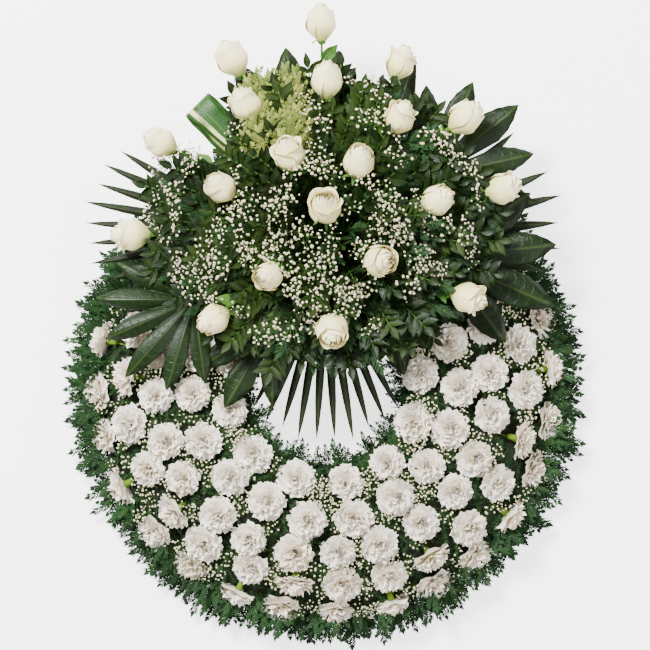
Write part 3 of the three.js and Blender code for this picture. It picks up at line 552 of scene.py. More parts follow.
# Each layer: petals, length, half width, lean at the claw and at the edge, frill.
BLOOM_LAYERS = [
    (6, 0.0295, 0.0225, 26, 4, 0.0026),
    (6, 0.0290, 0.0210, 40, 22, 0.0036),
    (6, 0.0275, 0.0190, 55, 40, 0.0044),
    (6, 0.0265, 0.0165, 68, 58, 0.0048),
    (5, 0.0258, 0.0135, 80, 72, 0.0050),
    (5, 0.0250, 0.0105, 93, 84, 0.0048),
    (3, 0.0235, 0.0095, 97, 101, 0.0040),
]


# %% Gather the petals into blooms
def calyx_and_stem():
    deselect()
    bpy.ops.mesh.primitive_cone_add(vertices=10, radius1=0.0040, radius2=0.0072, depth=0.020,
                                    location=(0, 0, 0.003), end_fill_type="NGON")
    cup = bpy.context.active_object
    bpy.ops.mesh.primitive_cylinder_add(vertices=5, radius=0.0016, depth=0.030, location=(0, 0, -0.018))
    stalk = bpy.context.active_object
    whole = as_one("calyx", [cup, stalk])
    deselect()
    whole.select_set(True)
    bpy.ops.object.transform_apply(location=True, rotation=True, scale=True)
    whole.data.materials.append(CALYX)
    return whole


def carnation_bloom(index):
    parts = [calyx_and_stem()]
    for layer, (count, length, width, start, finish, frill) in enumerate(BLOOM_LAYERS):
        for i in range(count):
            petal = carnation_petal(length * chance.uniform(0.92, 1.04), width, start + chance.uniform(-6, 6),
                                    finish + chance.uniform(-8, 8), frill, chance.uniform(0, 6.28))
            turn = math.tau * (i + 0.37 * layer + chance.uniform(-0.12, 0.12)) / count
            copy = moved(petal, stand((0, 0, 0.010), UP, turn))
            put_away(petal)
            parts.append(copy)
    return as_one("bloom_" + str(index), parts)


blooms = [carnation_bloom(k) for k in range(4)]
print("bloom", len(blooms[0].data.polygons), "faces")

# %% [markdown]
# The blooms stand in five rows. The same seeded numbers that place the solids are drawn
# again here in the same order, so each bloom grows where its solid is. Some of the
# lower blooms hang their heads and show the calyx.

# %% Plant the carnations
ROWS = [(102, -105, 29, 8, 0), (80, -106, 19.7, 12, 0), (62, -102, 15.2, 15, 2),
        (44.5, -106.4, 13.9, 16, 7), (25, -102.8, 13.2, 17, 14)]
SECTORS, SECTOR, FIRST = 8, 30, -120  # from the left of the head round to its right
SEAT = 0.00775  # of a bloom's foot over the straw
MIDDLE_UP = 0.018  # from its foot to the middle of its petals
HANG, HANG_EVERY, HANG_BELOW = 44, 3, 50  # degrees further, which ones, and in which rows
seed = 20260


def draw():
    global seed
    seed = (seed * 1664525 + 1013904223) % 4294967296
    return seed / 4294967296


def spread(amount):
    return (draw() * 2 - 1) * amount


def turned(vector, axis, degrees):
    a = math.radians(degrees)
    k = unit(axis)
    return (vector * math.cos(a) + np.cross(k, vector) * math.sin(a)
            + k * np.dot(k, vector) * (1 - math.cos(a)))


CARNATIONS = []
for degrees, first, step, count, droop in ROWS:
    for i in range(count):
        theta = first + step * i + spread(1.2)
        place, normal = on_ring(theta, degrees + spread(1.5), SEAT)
        axis = turned(normal, np.cross(UP, outwards(theta)), droop + spread(5))
        size = 1 + spread(0.06)
        roll = draw() * 360
        sector = min(SECTORS - 1, int((theta - FIRST) // SECTOR))
        CARNATIONS.append((place, unit(axis), size, roll, sector, theta, degrees))


def bloom_place(index, bloom):
    """Every third bloom of the two outer rows hangs its head, and shows its green calyx."""
    place, axis, size, roll, _, theta, degrees = bloom
    middle = place + axis * MIDDLE_UP
    if degrees < HANG_BELOW and index % HANG_EVERY == 0:
        axis = turned(axis, np.cross(UP, outwards(theta)), HANG)
        middle = middle + UP * 0.004
    return stand(middle - axis * 0.017, axis, math.radians(roll), size * 0.93)


for k in range(SECTORS):
    beds = []
    for kind, bloom in enumerate(blooms):
        mine = [(i, c) for i, c in enumerate(CARNATIONS) if c[4] == k and i % len(blooms) == kind]
        placings = [bloom_place(i, c) for i, c in mine]
        beds.append((bloom, placings, [chance.random() for _ in mine]))
    planted("carnation_bunch_" + str(k + 1), beds, ["carnations_" + str(k + 1)])
put_away(*blooms)

# %% [markdown]
# ## Greenery of the ring
# Under the flowers the straw is wrapped in moss, and bundles of feathery evergreen tips
# are pinned all round it, so that a soft fringe stands past the flowers at both edges. A tip
# is a thin stalk with two rows of narrow needles and a few side shoots.

# %% Evergreen tips
def needle():
    def form(u, v):
        half = np.interp(v, [0.0, 0.5, 1.0], [0.16, 0.5, 0.02])
        return v, u * half, -0.10 * v ** 2
    return shaped("needle", 1, 2, form, FEATHER)


def feather_tip(name, pairs, spread_angle, side_shoots, wide=0.066):
    blade = needle()
    parts = [shaped("stalk", 1, 3, lambda u, v: (v, 0.012 * u * (1 - 0.7 * v), 0.02 * v), STALK)]

    def row(origin, along, run, count):
        side = unit(np.cross(UP, along))
        for i in range(count):
            share = (i + 0.6) / count
            reach = (0.27 - 0.11 * share) * (run ** 0.5) * chance.uniform(0.7, 1.25)
            for hand in (-1, 1):
                angle = math.radians(spread_angle * chance.uniform(0.8, 1.15))
                way = along * math.cos(angle) + side * hand * math.sin(angle)
                way = way + UP * chance.uniform(-0.12, 0.4)
                spot = origin + along * run * share
                parts.append(moved(blade, lay(spot, way, UP + side * hand * 0.3, reach, wide)))
        tip = origin + along * run * 0.97
        parts.append(moved(blade, lay(tip, along, UP, 0.2 * run ** 0.5, 0.08)))

    row(np.zeros(3), np.array([1.0, 0, 0]), 1.0, pairs)
    for i in range(side_shoots):
        hand = 1 if i % 2 else -1
        angle = math.radians(38 * chance.uniform(0.8, 1.2))
        way = np.array([math.cos(angle), hand * math.sin(angle), chance.uniform(0, 0.25)])
        row(np.array([0.25 + 0.16 * i, 0, 0.01]), unit(way), 0.42 - 0.05 * i, max(3, pairs // 3))
    whole = as_one(name, parts)
    put_away(blade)
    return whole


tips = [feather_tip("tip_" + str(k), 15, 36, 3, 0.046) for k in range(3)]
small_tips = [feather_tip("small_tip_" + str(k), 6, 40, 0) for k in range(2)]
print("tip", len(tips[0].data.polygons), "small tip", len(small_tips[0].data.polygons))

# %% [markdown]
# ## Florets of baby's breath
# Baby's breath is a cloud of white dots: tiny double flowers on threads that fork again
# and again. A floret is an icosphere, flattened and crumpled; nineteen on forked threads
# make a cluster, and four different clusters are enough for the eye.

# %% A cluster of florets
FLORET_RADIUS, CLUSTER_RADIUS = 0.0022, 0.024
GOLDEN_ANGLE = 2.4  # in radians; steps of it spread points evenly over a disc


def breath_cluster(name, florets):
    parts = []
    for i in range(florets):
        deselect()
        bpy.ops.mesh.primitive_ico_sphere_add(subdivisions=1,
                                              radius=FLORET_RADIUS * chance.uniform(0.6, 1.35))
        floret = bpy.context.active_object
        for vertex in floret.data.vertices:
            vertex.co *= chance.uniform(0.72, 1.28)
            vertex.co.z *= 0.75
        floret.data.materials.append(FLORET)
        reach = CLUSTER_RADIUS * math.sqrt((i + 0.5) / florets) * chance.uniform(0.8, 1.15)
        turn = GOLDEN_ANGLE * i + chance.uniform(-0.4, 0.4)
        head = np.array([reach * math.cos(turn), reach * math.sin(turn), 0.036 - 9 * reach ** 2
                         + chance.uniform(-0.006, 0.006)])
        parts.append(moved(floret, stand(head, head + UP * 0.02)))
        put_away(floret)
        fork = np.array([0, 0, 0.012 * chance.uniform(0.4, 1.2)]) + head * 0.15
        thread = shaped("thread", 1, 1, lambda u, v: (v, u, 0 * v), STALK)
        parts.append(moved(thread, lay(fork, head - fork, UP + 0.1, np.linalg.norm(head - fork), 0.0003)))
        put_away(thread)
    stem = shaped("stem", 1, 1, lambda u, v: (v, u, 0 * v), STALK)
    parts.append(moved(stem, lay(np.array([0, 0, -0.03]), UP, np.array([1.0, 0.2, 0]), 0.05, 0.0005)))
    put_away(stem)
    return as_one(name, parts)


clusters = [breath_cluster("cluster_" + str(k), 19) for k in range(4)]
print("cluster", len(clusters[0].data.polygons), "faces")

# %% [markdown]
# ## Moss mats
# Each sector of greenery starts as a grid bent over the straw's section. Small lumps lift
# it here and there, and the Solidify modifier gives it the thickness of packed moss.

# %% Lay the moss
def moss_mat(name, first, last, highest, nodes):
    def form(u, v):
        theta, degrees = first + (last - first) * (u + 1) / 2, 6 + (highest - 6) * v
        spots = []
        for t, d in zip(theta, degrees):
            waves = math.sin(t * 2.1 + d * 0.3) + math.sin(t * 0.9 - d * 0.71) + math.sin(t * 5.3 + d)
            place, normal = on_ring(t, min(d, 179.0), 0.0068)
            spots.append(place + normal * min(0.0, 0.0016 * waves - 0.0005))
        return np.array(spots).T
    patch = shaped(name, max(4, int((last - first) * 0.9)), 22, form, MOSS)
    patch.data.attributes.new("tone", "FLOAT", "POINT")
    solid = patch.modifiers.new("Thickness", "SOLIDIFY")
    solid.thickness = 0.0055
    solid.offset = 1.0
    bpy.ops.object.modifier_apply(modifier="Thickness")
    bpy.ops.object.mode_set(mode="EDIT")
    bpy.ops.mesh.select_all(action="SELECT")
    bpy.ops.mesh.normals_make_consistent(inside=False)
    bpy.ops.object.mode_set(mode="OBJECT")
    bpy.ops.object.shade_smooth()
    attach(patch, "root")
    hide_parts(*nodes)
    print(name, len(patch.data.polygons), "faces")


for k in range(SECTORS):
    start = FIRST + SECTOR * k
    moss_mat("moss_" + str(k + 1), start, start + SECTOR, 150, ["greens_" + str(k + 1)])
moss_mat("moss_right_of_head", 120, 150, 150, ["greens_under_head"])
moss_mat("moss_under_head", 150, 210, 30, ["greens_under_head"])
moss_mat("moss_left_of_head", 210, 240, 150, ["greens_under_head"])

# %% [markdown]
# Tips are pinned in four rows at the outer edge and one at the inner edge, and short ones
# fill the gaps between blooms. Where a bloom is in the way, a tip is left out, and under
# the edge of a bloom it lies low. Florets are tucked in between them in loose patches.

# %% Pin the tips
def clear_of_blooms(spot, room):
    return all(np.linalg.norm(spot - c[0] - c[1] * MIDDLE_UP) > room for c in CARNATIONS)


# Each outer row: place on the section, step in degrees, rise of its tips, and their reach.
FRINGE_ROWS = [(8, 2.1, -0.16, 0.412), (13, 2.3, 0.02, 0.412),
               (19, 2.6, 0.16, 0.404), (27, 3.0, 0.34, 0.394)]
FLORET_ROWS = (30, 44, 58, 72, 88, 101)
# Steps in degrees along the inner edge, between the blooms and between the florets.
INNER_STEP, GAP_STEP, FLORET_STEP = 3.6, 1.5, 3.0
# Room from a bloom's middle that a short tip, an upright one and a floret need.
BLOOM_ROOM, SKIRT_ROOM, FLORET_ROOM = 0.0215, 0.031, 0.0245


def fringe(first, last, inner):
    beds = [(tip, [], []) for tip in tips]

    def pin(spot, along, face, size):
        shape = beds[chance.randrange(3)]
        shape[1].append(lay(spot, along, face, size, size * chance.uniform(0.85, 1.2)))
        shape[2].append(chance.random())

    for degrees, step, rise, reach in FRINGE_ROWS:
        theta = first + step / 2
        while theta < last:
            spot, normal = on_ring(theta, degrees + chance.uniform(-3, 3), 0.004)
            aim = outwards(theta + chance.uniform(-24, 24))
            length = reach - np.linalg.norm((spot - CENTRE)[:2]) + chance.uniform(-0.036, 0.007)
            way = aim + UP * (rise + chance.uniform(-0.08, 0.12))
            pin(spot, way, normal + UP, max(0.05, length * 1.06))
            theta += step * chance.uniform(0.55, 1.6)
    theta = first + 2
    while inner and theta < last:
        spot, normal = on_ring(theta, chance.uniform(118, 148), 0.004)
        way = -outwards(theta + chance.uniform(-25, 25)) * 0.6 + UP * chance.uniform(0.1, 0.9)
        length = 0.040 * chance.uniform(0.8, 1.2)
        pin(spot, way, UP + normal, length)
        theta += INNER_STEP
    return beds


def gap_tips(first, last, highest=132):
    beds = [(tip, [], []) for tip in small_tips]
    theta = first + 0.6
    while theta < last:
        for degrees in range(18, highest, 7):
            spot, normal = on_ring(theta + chance.uniform(-1, 1), degrees + chance.uniform(-3, 3), 0.011)
            if not clear_of_blooms(spot + normal * 0.015, BLOOM_ROOM):
                continue
            turn = chance.uniform(0, math.tau)
            side = unit(np.cross(normal, outwards(theta + 37)))
            flat = side * math.cos(turn) + np.cross(normal, side) * math.sin(turn)
            free = clear_of_blooms(spot + normal * 0.015, SKIRT_ROOM)
            way = normal * chance.uniform(0.2, 0.8) * (1 if free else 0.25) + flat
            shape = beds[chance.randrange(2)]
            size = chance.uniform(0.022, 0.034)
            shape[1].append(lay(spot - flat * size * 0.4, way, normal, size, size * 1.3))
            shape[2].append(chance.random() ** 1.5)
        theta += GAP_STEP
    return beds


def ring_florets(first, last):
    beds = [(cluster, [], []) for cluster in clusters]
    theta = first + 1.2
    while theta < last:
        for degrees in FLORET_ROWS:
            spot, normal = on_ring(theta + chance.uniform(-2, 2), degrees + chance.uniform(-6, 6), 0.005)
            patch = math.sin(theta * 0.31 + degrees * 0.09) + math.sin(theta * 0.13 - degrees * 0.21)
            if chance.random() < (0.2 if patch > -0.3 else 0.75):
                continue
            if not clear_of_blooms(spot + normal * 0.02, FLORET_ROOM):
                continue
            bed = beds[chance.randrange(4)]
            spot = spot + normal * chance.uniform(0.0, 0.006)
            bed[1].append(stand(spot, normal, chance.uniform(0, 6), 0.78))
            bed[2].append(chance.random())
        theta += FLORET_STEP
    return beds


for k in range(SECTORS):
    first = FIRST + SECTOR * k
    last = first + SECTOR
    planted("evergreen_tips_" + str(k + 1), fringe(first, last, True) + gap_tips(first, last))
    planted("ring_florets_" + str(k + 1), ring_florets(first, last))
hidden = gap_tips(120, 150) + gap_tips(150, 210, 62) + gap_tips(210, 240)
planted("evergreen_tips_under_head", fringe(120, 240, False) + hidden)
put_away(*small_tips)

# %% [markdown]
# ## The head's stems
# A block of wet foam in a tray sits on the top of the ring, and every stem of the head is
# pushed towards its heart. So a stem is a rod from inside the foam along the line from
# that heart. One cylinder is modelled, and laid between the two ends of each stem.

# %% Stems
HEART = CENTRE + np.array([0, 0.245, 0.112])
FOAM_LOW, FOAM_HIGH = np.array([-0.100, -0.049, -0.0116]), np.array([0.100, 0.049, 0.060])
STEM_SUNK = 0.021  # of a stem in the foam
# The dome of roses in millimetres: its middle over the ring's, its radius, the height of
# its rim, its rise, and how much higher the buds in the middle stand.
HEAD_MIDDLE, HEAD_RADIUS, RIM_HEIGHT, HEAD_RISE, BUD_RISE = 245, 310, 165, 75, 29


def at_ring(x, y, z):
    return CENTRE + np.array([x, y, z]) / 1000


def from_middle(x, y):
    """0 over the middle of the head, and 1 at its rim and beyond."""
    return min(1.0, math.hypot(x, y - HEAD_MIDDLE) / HEAD_RADIUS)


def dome(x, y):
    away = from_middle(x, y)
    return RIM_HEIGHT + HEAD_RISE * (1 - away ** 2) + BUD_RISE * (1 - away)


def foam_face(direction):
    limits = np.where(direction > 0, FOAM_HIGH, FOAM_LOW)
    return min(limit / way for limit, way in zip(limits, direction) if abs(way) > 1e-9)


def stem_shape():
    deselect()
    bpy.ops.mesh.primitive_cylinder_add(vertices=7, radius=1, depth=1, location=(0, 0, 0.5))
    rod = bpy.context.active_object
    bpy.ops.object.mode_set(mode="EDIT")
    bpy.ops.mesh.select_all(action="SELECT")
    bpy.ops.mesh.bevel(offset=0.06, segments=1)
    bpy.ops.object.mode_set(mode="OBJECT")
    deselect()
    rod.select_set(True)
    bpy.ops.object.transform_apply(location=True, rotation=True, scale=True)
    rod.data.materials.append(STALK)
    return rod


def rod_between(start, end, radius):
    z = end - start
    x = unit(np.cross(z, [0.31, 0.95, 0.1]))
    return np.column_stack([x * radius, np.cross(unit(z), x) * radius, z, start])


def stem_from_foam(end, radius):
    way = unit(end - HEART)
    return rod_between(HEART + way * (foam_face(way) - STEM_SUNK), end, radius)


rod = stem_shape()
print("stem", len(rod.data.polygons), "faces")

# %% [markdown]
# ## Roses
# A rose just opening is a tall cup: a tight spiral in the middle, and wider petals round
# it whose lips roll outwards. Each petal is a sheet wrapped round the bud's axis. Its
# radius swells at the belly and closes or rolls at the top, and one edge tucks under its
# neighbour, which draws the spiral.

# %% A rose petal and a bud
ROSE_RADIUS, ROSE_HEIGHT = 0.023, 0.058


def rose_petal(scale, top, closing, lip, half, phase):
    def form(u, v):
        radius = 0.30 + 0.78 * np.sin(np.minimum(1.5708, 2.7 * v)) - closing * np.maximum(0, v - 0.45) ** 1.5
        rim = np.maximum(0, (v - 0.80) / 0.20)
        radius += lip * rim ** 2 * (1 + 0.35 * np.sin(2.5 * u + phase))
        radius *= scale * (1 + 0.07 * u) * ROSE_RADIUS
        turn = half * u * (0.55 + 0.45 * np.sin(np.minimum(1.5708, 2.2 * v)))
        edge = 1 - 0.20 * np.abs(u) ** 2.6 + 0.012 * np.sin(7 * u + phase)
        z = ROSE_HEIGHT * top * v * (1 - (1 - edge) * v) - ROSE_HEIGHT * 0.16 * lip * rim ** 2.2
        return radius * np.cos(turn), radius * np.sin(turn), z
    return shaped("rose_petal", 8, 8, form, ROSE)


# Each layer: petals, scale, top, how much it closes, lip, half angle, first turn.
ROSE_LAYERS = [
    (5, 0.97, 0.86, 0.62, 0.26, 0.95, 0.0),
    (4, 0.87, 0.95, 1.15, 0.10, 1.10, 0.5),
    (4, 0.75, 1.00, 1.45, 0.02, 1.15, 1.1),
    (3, 0.60, 1.03, 1.60, 0.0, 1.35, 1.8),
    (3, 0.42, 1.03, 1.70, 0.0, 1.60, 2.2),
    (2, 0.26, 1.01, 1.70, 0.0, 1.80, 0.6),
]


def sepal():
    return shaped("sepal", 2, 4, lambda u, v: (
        0.004 + 0.016 * v, u * 0.0042 * (1 - v) ** 0.6, -0.001 - 0.010 * v ** 2 + 0.004 * v), ROSE_LEAF)


def rose_bud(index, opening):
    parts = []
    for count, scale, top, closing, lip, half, first in ROSE_LAYERS:
        for i in range(count):
            petal = rose_petal(scale * chance.uniform(0.97, 1.03), top * chance.uniform(0.96, 1.02), closing,
                               lip * opening * chance.uniform(0.6, 1.3), half, chance.uniform(0, 6))
            turn = first + math.tau * (i + chance.uniform(-0.05, 0.05)) / count
            parts.append(moved(petal, stand((0, 0, 0), UP, turn)))
            put_away(petal)
    green = sepal()
    for i in range(5):
        parts.append(moved(green, stand((0, 0, 0.002), UP, math.tau * i / 5 + 0.3)))
    put_away(green)
    deselect()
    bpy.ops.mesh.primitive_uv_sphere_add(segments=10, ring_count=6, radius=0.0068, location=(0, 0, 0.0005))
    hip = bpy.context.active_object
    bpy.ops.object.transform_apply(location=True, rotation=True, scale=True)
    hip.data.materials.append(ROSE_LEAF)
    return as_one("rose_bud_" + str(index), parts + [hip])


buds = [rose_bud(k, opening) for k, opening in enumerate((0.15, 0.5, 0.9))]
print("rose", len(buds[0].data.polygons), "faces")

# %% [markdown]
# ## Small leaves
# The leaves on rose stems and on the filling branches are pointed ovals, folded along the
# rib, with waved edges and a tip that bends down.

# %% A small leaf
def small_leaf(name, width, material):
    def form(u, v):
        half = width * np.clip(np.sin(np.pi * v ** 0.85), 0.01, 1) ** 0.85 * (1 + 0.05 * np.sin(22 * v))
        fold = 0.16 * half * np.abs(u) * 2 - 0.16 * v ** 2.2 + 0.02 * np.sin(9 * v) * u
        return v - 0.04 * u ** 2, half * u, fold
    return shaped(name, 4, 5, form, material)


rose_leaf = small_leaf("rose_leaf", 0.26, ROSE_LEAF)
spray_leaf = small_leaf("spray_leaf", 0.22, SPRAY_LEAF)
dark_leaf = small_leaf("dark_leaf", 0.25, DARK_LEAF)

# %% Plant the roses
ROSES = [(-7, 575), (-147, 518), (117, 511), (2, 482), (-125, 444), (115, 423), (219, 425),
         (-259, 386), (-57, 364), (51, 353), (-163, 313), (-1, 281), (174, 294), (278, 314),
         (-306, 241), (-89, 175), (84, 199), (223, 142), (-175, 108), (10, 92)]
ROSE_PLACES = []
for index, (x, y) in enumerate(ROSES):
    away = from_middle(x, y)
    middle = at_ring(x, y, dome(x, y))
    axis = unit(middle - HEART)
    size = 1 + 0.06 * math.sin(index * 2.4)
    base = middle - axis * ROSE_HEIGHT * size / 2
    nod = unit(axis + np.array([0, 0.42, 0]) * (1 - away))
    ROSE_PLACES.append((middle, nod))
    leaves, tones = [], []
    reach = np.linalg.norm(base - HEART)
    for i in range(4):
        share = 0.90 - 0.13 * i
        spot = HEART + axis * reach * share
        side = turned(unit(np.cross(axis, UP + 0.01)), axis, 137.5 * i + 40 * index)
        if reach * share < 0.10:
            continue
        leaves.append(lay(spot, side + axis * 0.9, axis * -0.3 + UP, 0.036 * chance.uniform(0.8, 1.25)))
        tones.append(chance.random())
    planted("garden_rose_" + str(index + 1), [
        (buds[index % 3], [stand(middle - nod * ROSE_HEIGHT * size / 2, nod, index * 0.87, size)],
         [chance.random()]),
        (rod, [stem_from_foam(base + axis * 0.002, 0.0021)], [0.5]),
        (rose_leaf, leaves, tones)], ["rose_" + str(index + 1)])
put_away(*buds)

# %% [markdown]
# ## Large lobed leaves
# Glossy hand-shaped leaves frame the head. One grid makes a whole leaf: u sweeps round the
# hub from the first lobe to the last, and v runs out from the hub to the leaf's edge, so
# the outline is a single function of the angle. The UV map is then cut into one strip per
# lobe, so that every lobe gets its own rib and side veins.

# %% Leaves that spread from a hub
def leaf_at(hub, azimuth, rise, arch, length):
    c, s = math.cos(math.radians(azimuth)), math.sin(math.radians(azimuth))

    def at(radius, angle, lift):
        forward, left = radius * np.cos(angle), radius * np.sin(angle)
        share = radius / length
        z = hub[2] + rise * share + arch * np.sin(np.pi * np.minimum(1, share)) + lift
        x, y = hub[0] + forward * c - left * s, hub[1] + forward * s + left * c
        return x / 1000 + CENTRE[0], y / 1000 + CENTRE[1], z / 1000
    return at


def strip_map(sheet, lobes):
    uv = numbers(sheet.data.uv_layers.active.data, "uv", len(sheet.data.loops) * 2, np.float32).reshape(-1, 2)
    faces = uv.reshape(-1, 4, 2)
    lobe = np.minimum(lobes - 1, np.floor(faces[:, :, 0].mean(axis=1) * lobes))
    faces[:, :, 0] = faces[:, :, 0] * lobes - lobe[:, None]
    sheet.data.uv_layers.active.data.foreach_set("uv", faces.ravel())


def spread_leaf(name, node, plan, outline, lift, lobes, per_lobe, rows, material, thick):
    at = leaf_at(plan["hub"], plan["azimuth"], plan["rise"], plan["arch"], plan["length"])
    opening = plan["open"]

    def form(u, v):
        lobe = np.clip(np.floor((u + 1) / 2 * lobes), 0, lobes - 1)
        middle = -opening + 2 * opening / lobes * (lobe + 0.5)
        t = (u * opening - middle) / (opening / lobes)
        reach = outline(middle, lobe, t)
        return at(reach * v, np.radians(u * opening), lift(t, v, u))
    sheet = shaped(name, per_lobe * lobes, rows, form, material)
    strip_map(sheet, lobes)
    bpy.ops.object.mode_set(mode="EDIT")
    bpy.ops.mesh.select_all(action="SELECT")
    bpy.ops.mesh.remove_doubles(threshold=0.00005)
    bpy.ops.mesh.normals_make_consistent(inside=False)
    bpy.ops.object.mode_set(mode="OBJECT")
    if sheet.data.polygons[len(sheet.data.polygons) // 2].normal.z < 0:
        sheet.data.flip_normals()
    body = sheet.modifiers.new("Thickness", "SOLIDIFY")
    body.thickness = thick
    bpy.ops.object.modifier_apply(modifier="Thickness")
    stalk = moved(rod, stem_from_foam(np.array(at(plan["length"] * 0.06, 0.0, -0.6)), 0.0024))
    whole = as_one(name, [sheet, stalk])
    bpy.ops.object.shade_smooth()
    tone = whole.data.attributes.new("tone", "FLOAT", "POINT")
    tone.data.foreach_set("value", np.full(len(whole.data.vertices), chance.random(), np.float32))
    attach(whole, "root")
    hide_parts(node)
    print(name, len(whole.data.polygons), "faces")


# %% The six hand leaves
HAND_LEAVES = {
    "right_low": dict(hub=(185, 206, 127), azimuth=-8.5, length=191, lobes=4, open=60,
                      width=56, rise=13, arch=3, notch=0.30),
    "right_high": dict(hub=(166, 334, 118), azimuth=26, length=176, lobes=6, open=80,
                       width=50, rise=8, arch=3, notch=0.34),
    "top": dict(hub=(-40, 372, 120), azimuth=98, length=176, lobes=5, open=72,
                width=58, rise=8, arch=2, notch=0.34),
    "left_low": dict(hub=(-208, 139, 132), azimuth=216, length=160, lobes=6, open=74,
                     width=34, rise=8, arch=8, notch=0.42),
    "bottom_left": dict(hub=(-80, 107, 131), azimuth=240, length=156, lobes=3, open=42,
                        width=46, rise=8, arch=7, notch=0.30),
    "bottom_right": dict(hub=(96, 123, 131), azimuth=285, length=104, lobes=3, open=50,
                         width=38, rise=8, arch=6, notch=0.32),
}
for key, plan in HAND_LEAVES.items():
    def lobed(middle, lobe, t, plan=plan):
        reach = plan["length"] * (1 - 0.22 * (middle / plan["open"]) ** 2) * (1 + 0.04 * np.sin(lobe * 2.4))
        half = np.degrees(np.arctan(plan["width"] / 2 / (reach * 0.62))) / (plan["open"] / plan["lobes"])
        half = np.minimum(half, 0.93)
        x = np.abs(t)
        inside = 0.62 + 0.38 * np.clip(1 - x / half, 0, 1) ** 0.72
        fall = np.clip((x - half) / np.maximum(0.02, 1 - half), 0, 1)
        edge = reach * inside * (1 - fall) + plan["length"] * plan["notch"] * fall
        return edge * (1 + 0.018 * np.sin(26 * t))

    def folded(t, v, u):
        return 5.0 * (1 - np.abs(t)) * np.sin(np.pi * v ** 0.8) + 2.2 * v ** 2 * np.sin(u * 23) - 3 * v ** 3

    spread_leaf("hand_leaf_" + key, "leaf_" + key, plan, lobed, folded, plan["lobes"], 16, 9, DARK_LEAF,
                0.0008)

# %% [markdown]
# Fan palm leaves are the same kind of sheet, pleated like a folded fan. Beyond the middle
# their segments part into long points.

# %% The three palm leaves
PALMS = {
    "bottom": dict(hub=(0, 181, 110), azimuth=270, rise=-14, arch=6, length=266, lobes=10, open=31.5),
    "left": dict(hub=(-112, 245, 109), azimuth=173, rise=6, arch=4, length=272, lobes=8, open=28),
    "right": dict(hub=(112, 240, 109), azimuth=14, rise=3, arch=4, length=266, lobes=7, open=32),
}
for key, plan in PALMS.items():
    def pointed(middle, lobe, t, plan=plan):
        reach = plan["length"] * (1 - 0.1 * (middle / plan["open"]) ** 2) * (1 + 0.02 * np.sin(lobe * 2.4))
        split = plan["length"] * 0.46
        return split + (reach - split) * np.clip(1 - np.abs(t) ** 1.15, 0, 1) ** 0.95

    def pleated(t, v, u):
        return 4.5 * (1 - np.abs(t)) * np.minimum(1, 1.6 * v) - 2 * v ** 4

    spread_leaf("fan_palm_" + key, "palm_" + key, plan, pointed, pleated, plan["lobes"], 8, 12, PALM_LEAF,
                0.0008)

# %% [markdown]
# ## A long oval leaf and a rolled strap
# The oval leaf at the top right is one sheet with waved edges. The strap at the left is
# folded back over itself, as florists do with aspidistra, so its path is a hairpin. A pale
# stripe runs along one side of it.

# %% Finish a single blade
def blade_piece(name, node, across, along, form, material, petiole_end):
    sheet = shaped(name, across, along, form, material)
    body = sheet.modifiers.new("Thickness", "SOLIDIFY")
    body.thickness = 0.0008
    bpy.ops.object.modifier_apply(modifier="Thickness")
    stalk = moved(rod, stem_from_foam(petiole_end, 0.0024))
    whole = as_one(name, [sheet, stalk])
    bpy.ops.object.shade_smooth()
    tone = whole.data.attributes.new("tone", "FLOAT", "POINT")
    tone.data.foreach_set("value", np.full(len(whole.data.vertices), 0.6, np.float32))
    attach(whole, "root")
    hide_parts(node)
    print(name, len(whole.data.polygons), "faces")


oval_at = leaf_at((62, 302, 107), 70, 5, 3, 234)


def oval_form(u, v):
    half = 28 * np.sin(np.pi * np.clip(v, 0.002, 0.998) ** 0.8) ** 0.7 * u * (1 + 0.04 * np.sin(18 * v))
    radius = np.hypot(v * 234, half)
    lift = (3 + np.sin(v * 20)) * np.abs(u) + 1.2 * np.sin(40 * v) * u ** 2
    return oval_at(radius, np.arctan2(half, v * 234 + 1e-6), lift)


blade_piece("oval_leaf_top_right", "leaf_top_right", 10, 30, oval_form, DARK_LEAF,
            np.array(oval_at(14.0, 0.0, -0.6)))

CURL = [(0, 0, 0.25), (0.3, 0, 0.8), (0.62, 1, 1), (0.86, 6, 1), (0.99, 8.1, 0.95),
        (1, 18.4, 0.9), (0.9, 25.9, 0.8), (0.34, 27, 0.4)]
TURN = math.radians(135)


def strap_form(u, v):
    along = np.array(CURL, float)
    steps = np.hypot(np.diff(along[:, 0]) * 208, np.diff(along[:, 1]))
    length = np.concatenate([[0], np.cumsum(steps)]) / steps.sum()
    share, up, wide = (np.zeros_like(v) for _ in range(3))
    for shift in (-0.018, 0.0, 0.018):
        spot = np.clip(v + shift, 0, 1)
        share += np.interp(spot, length, along[:, 0]) / 3
        up += np.interp(spot, length, along[:, 1]) / 3
        wide += np.interp(spot, length, along[:, 2]) / 3
    forward, left = share * 208, u * 28 * wide * (1 + 0.02 * np.sin(50 * v))
    lift = up + 1.5 * u ** 2 * np.where(v > 0.5, -1, 1)
    return (CENTRE[0] + (-58 + forward * math.cos(TURN) - left * math.sin(TURN)) / 1000,
            CENTRE[1] + (303 + forward * math.sin(TURN) + left * math.cos(TURN)) / 1000,
            (117 + lift) / 1000)


blade_piece("rolled_strap_leaf", "leaf_rolled", 8, 48, strap_form, STRAP_LEAF,
            at_ring(-58 + 8 * math.cos(TURN), 303 + 8 * math.sin(TURN), 116.5))

# %% [markdown]
# ## Branches that fill the head
# Between roses and big leaves the foam is hidden by leafy branches. Two branches are
# modelled, each a stalk with leaves in pairs. Their copies and a few evergreen tips start
# inside the head and point away from the heart, below the roses, so the head stays a dome
# of dark green.

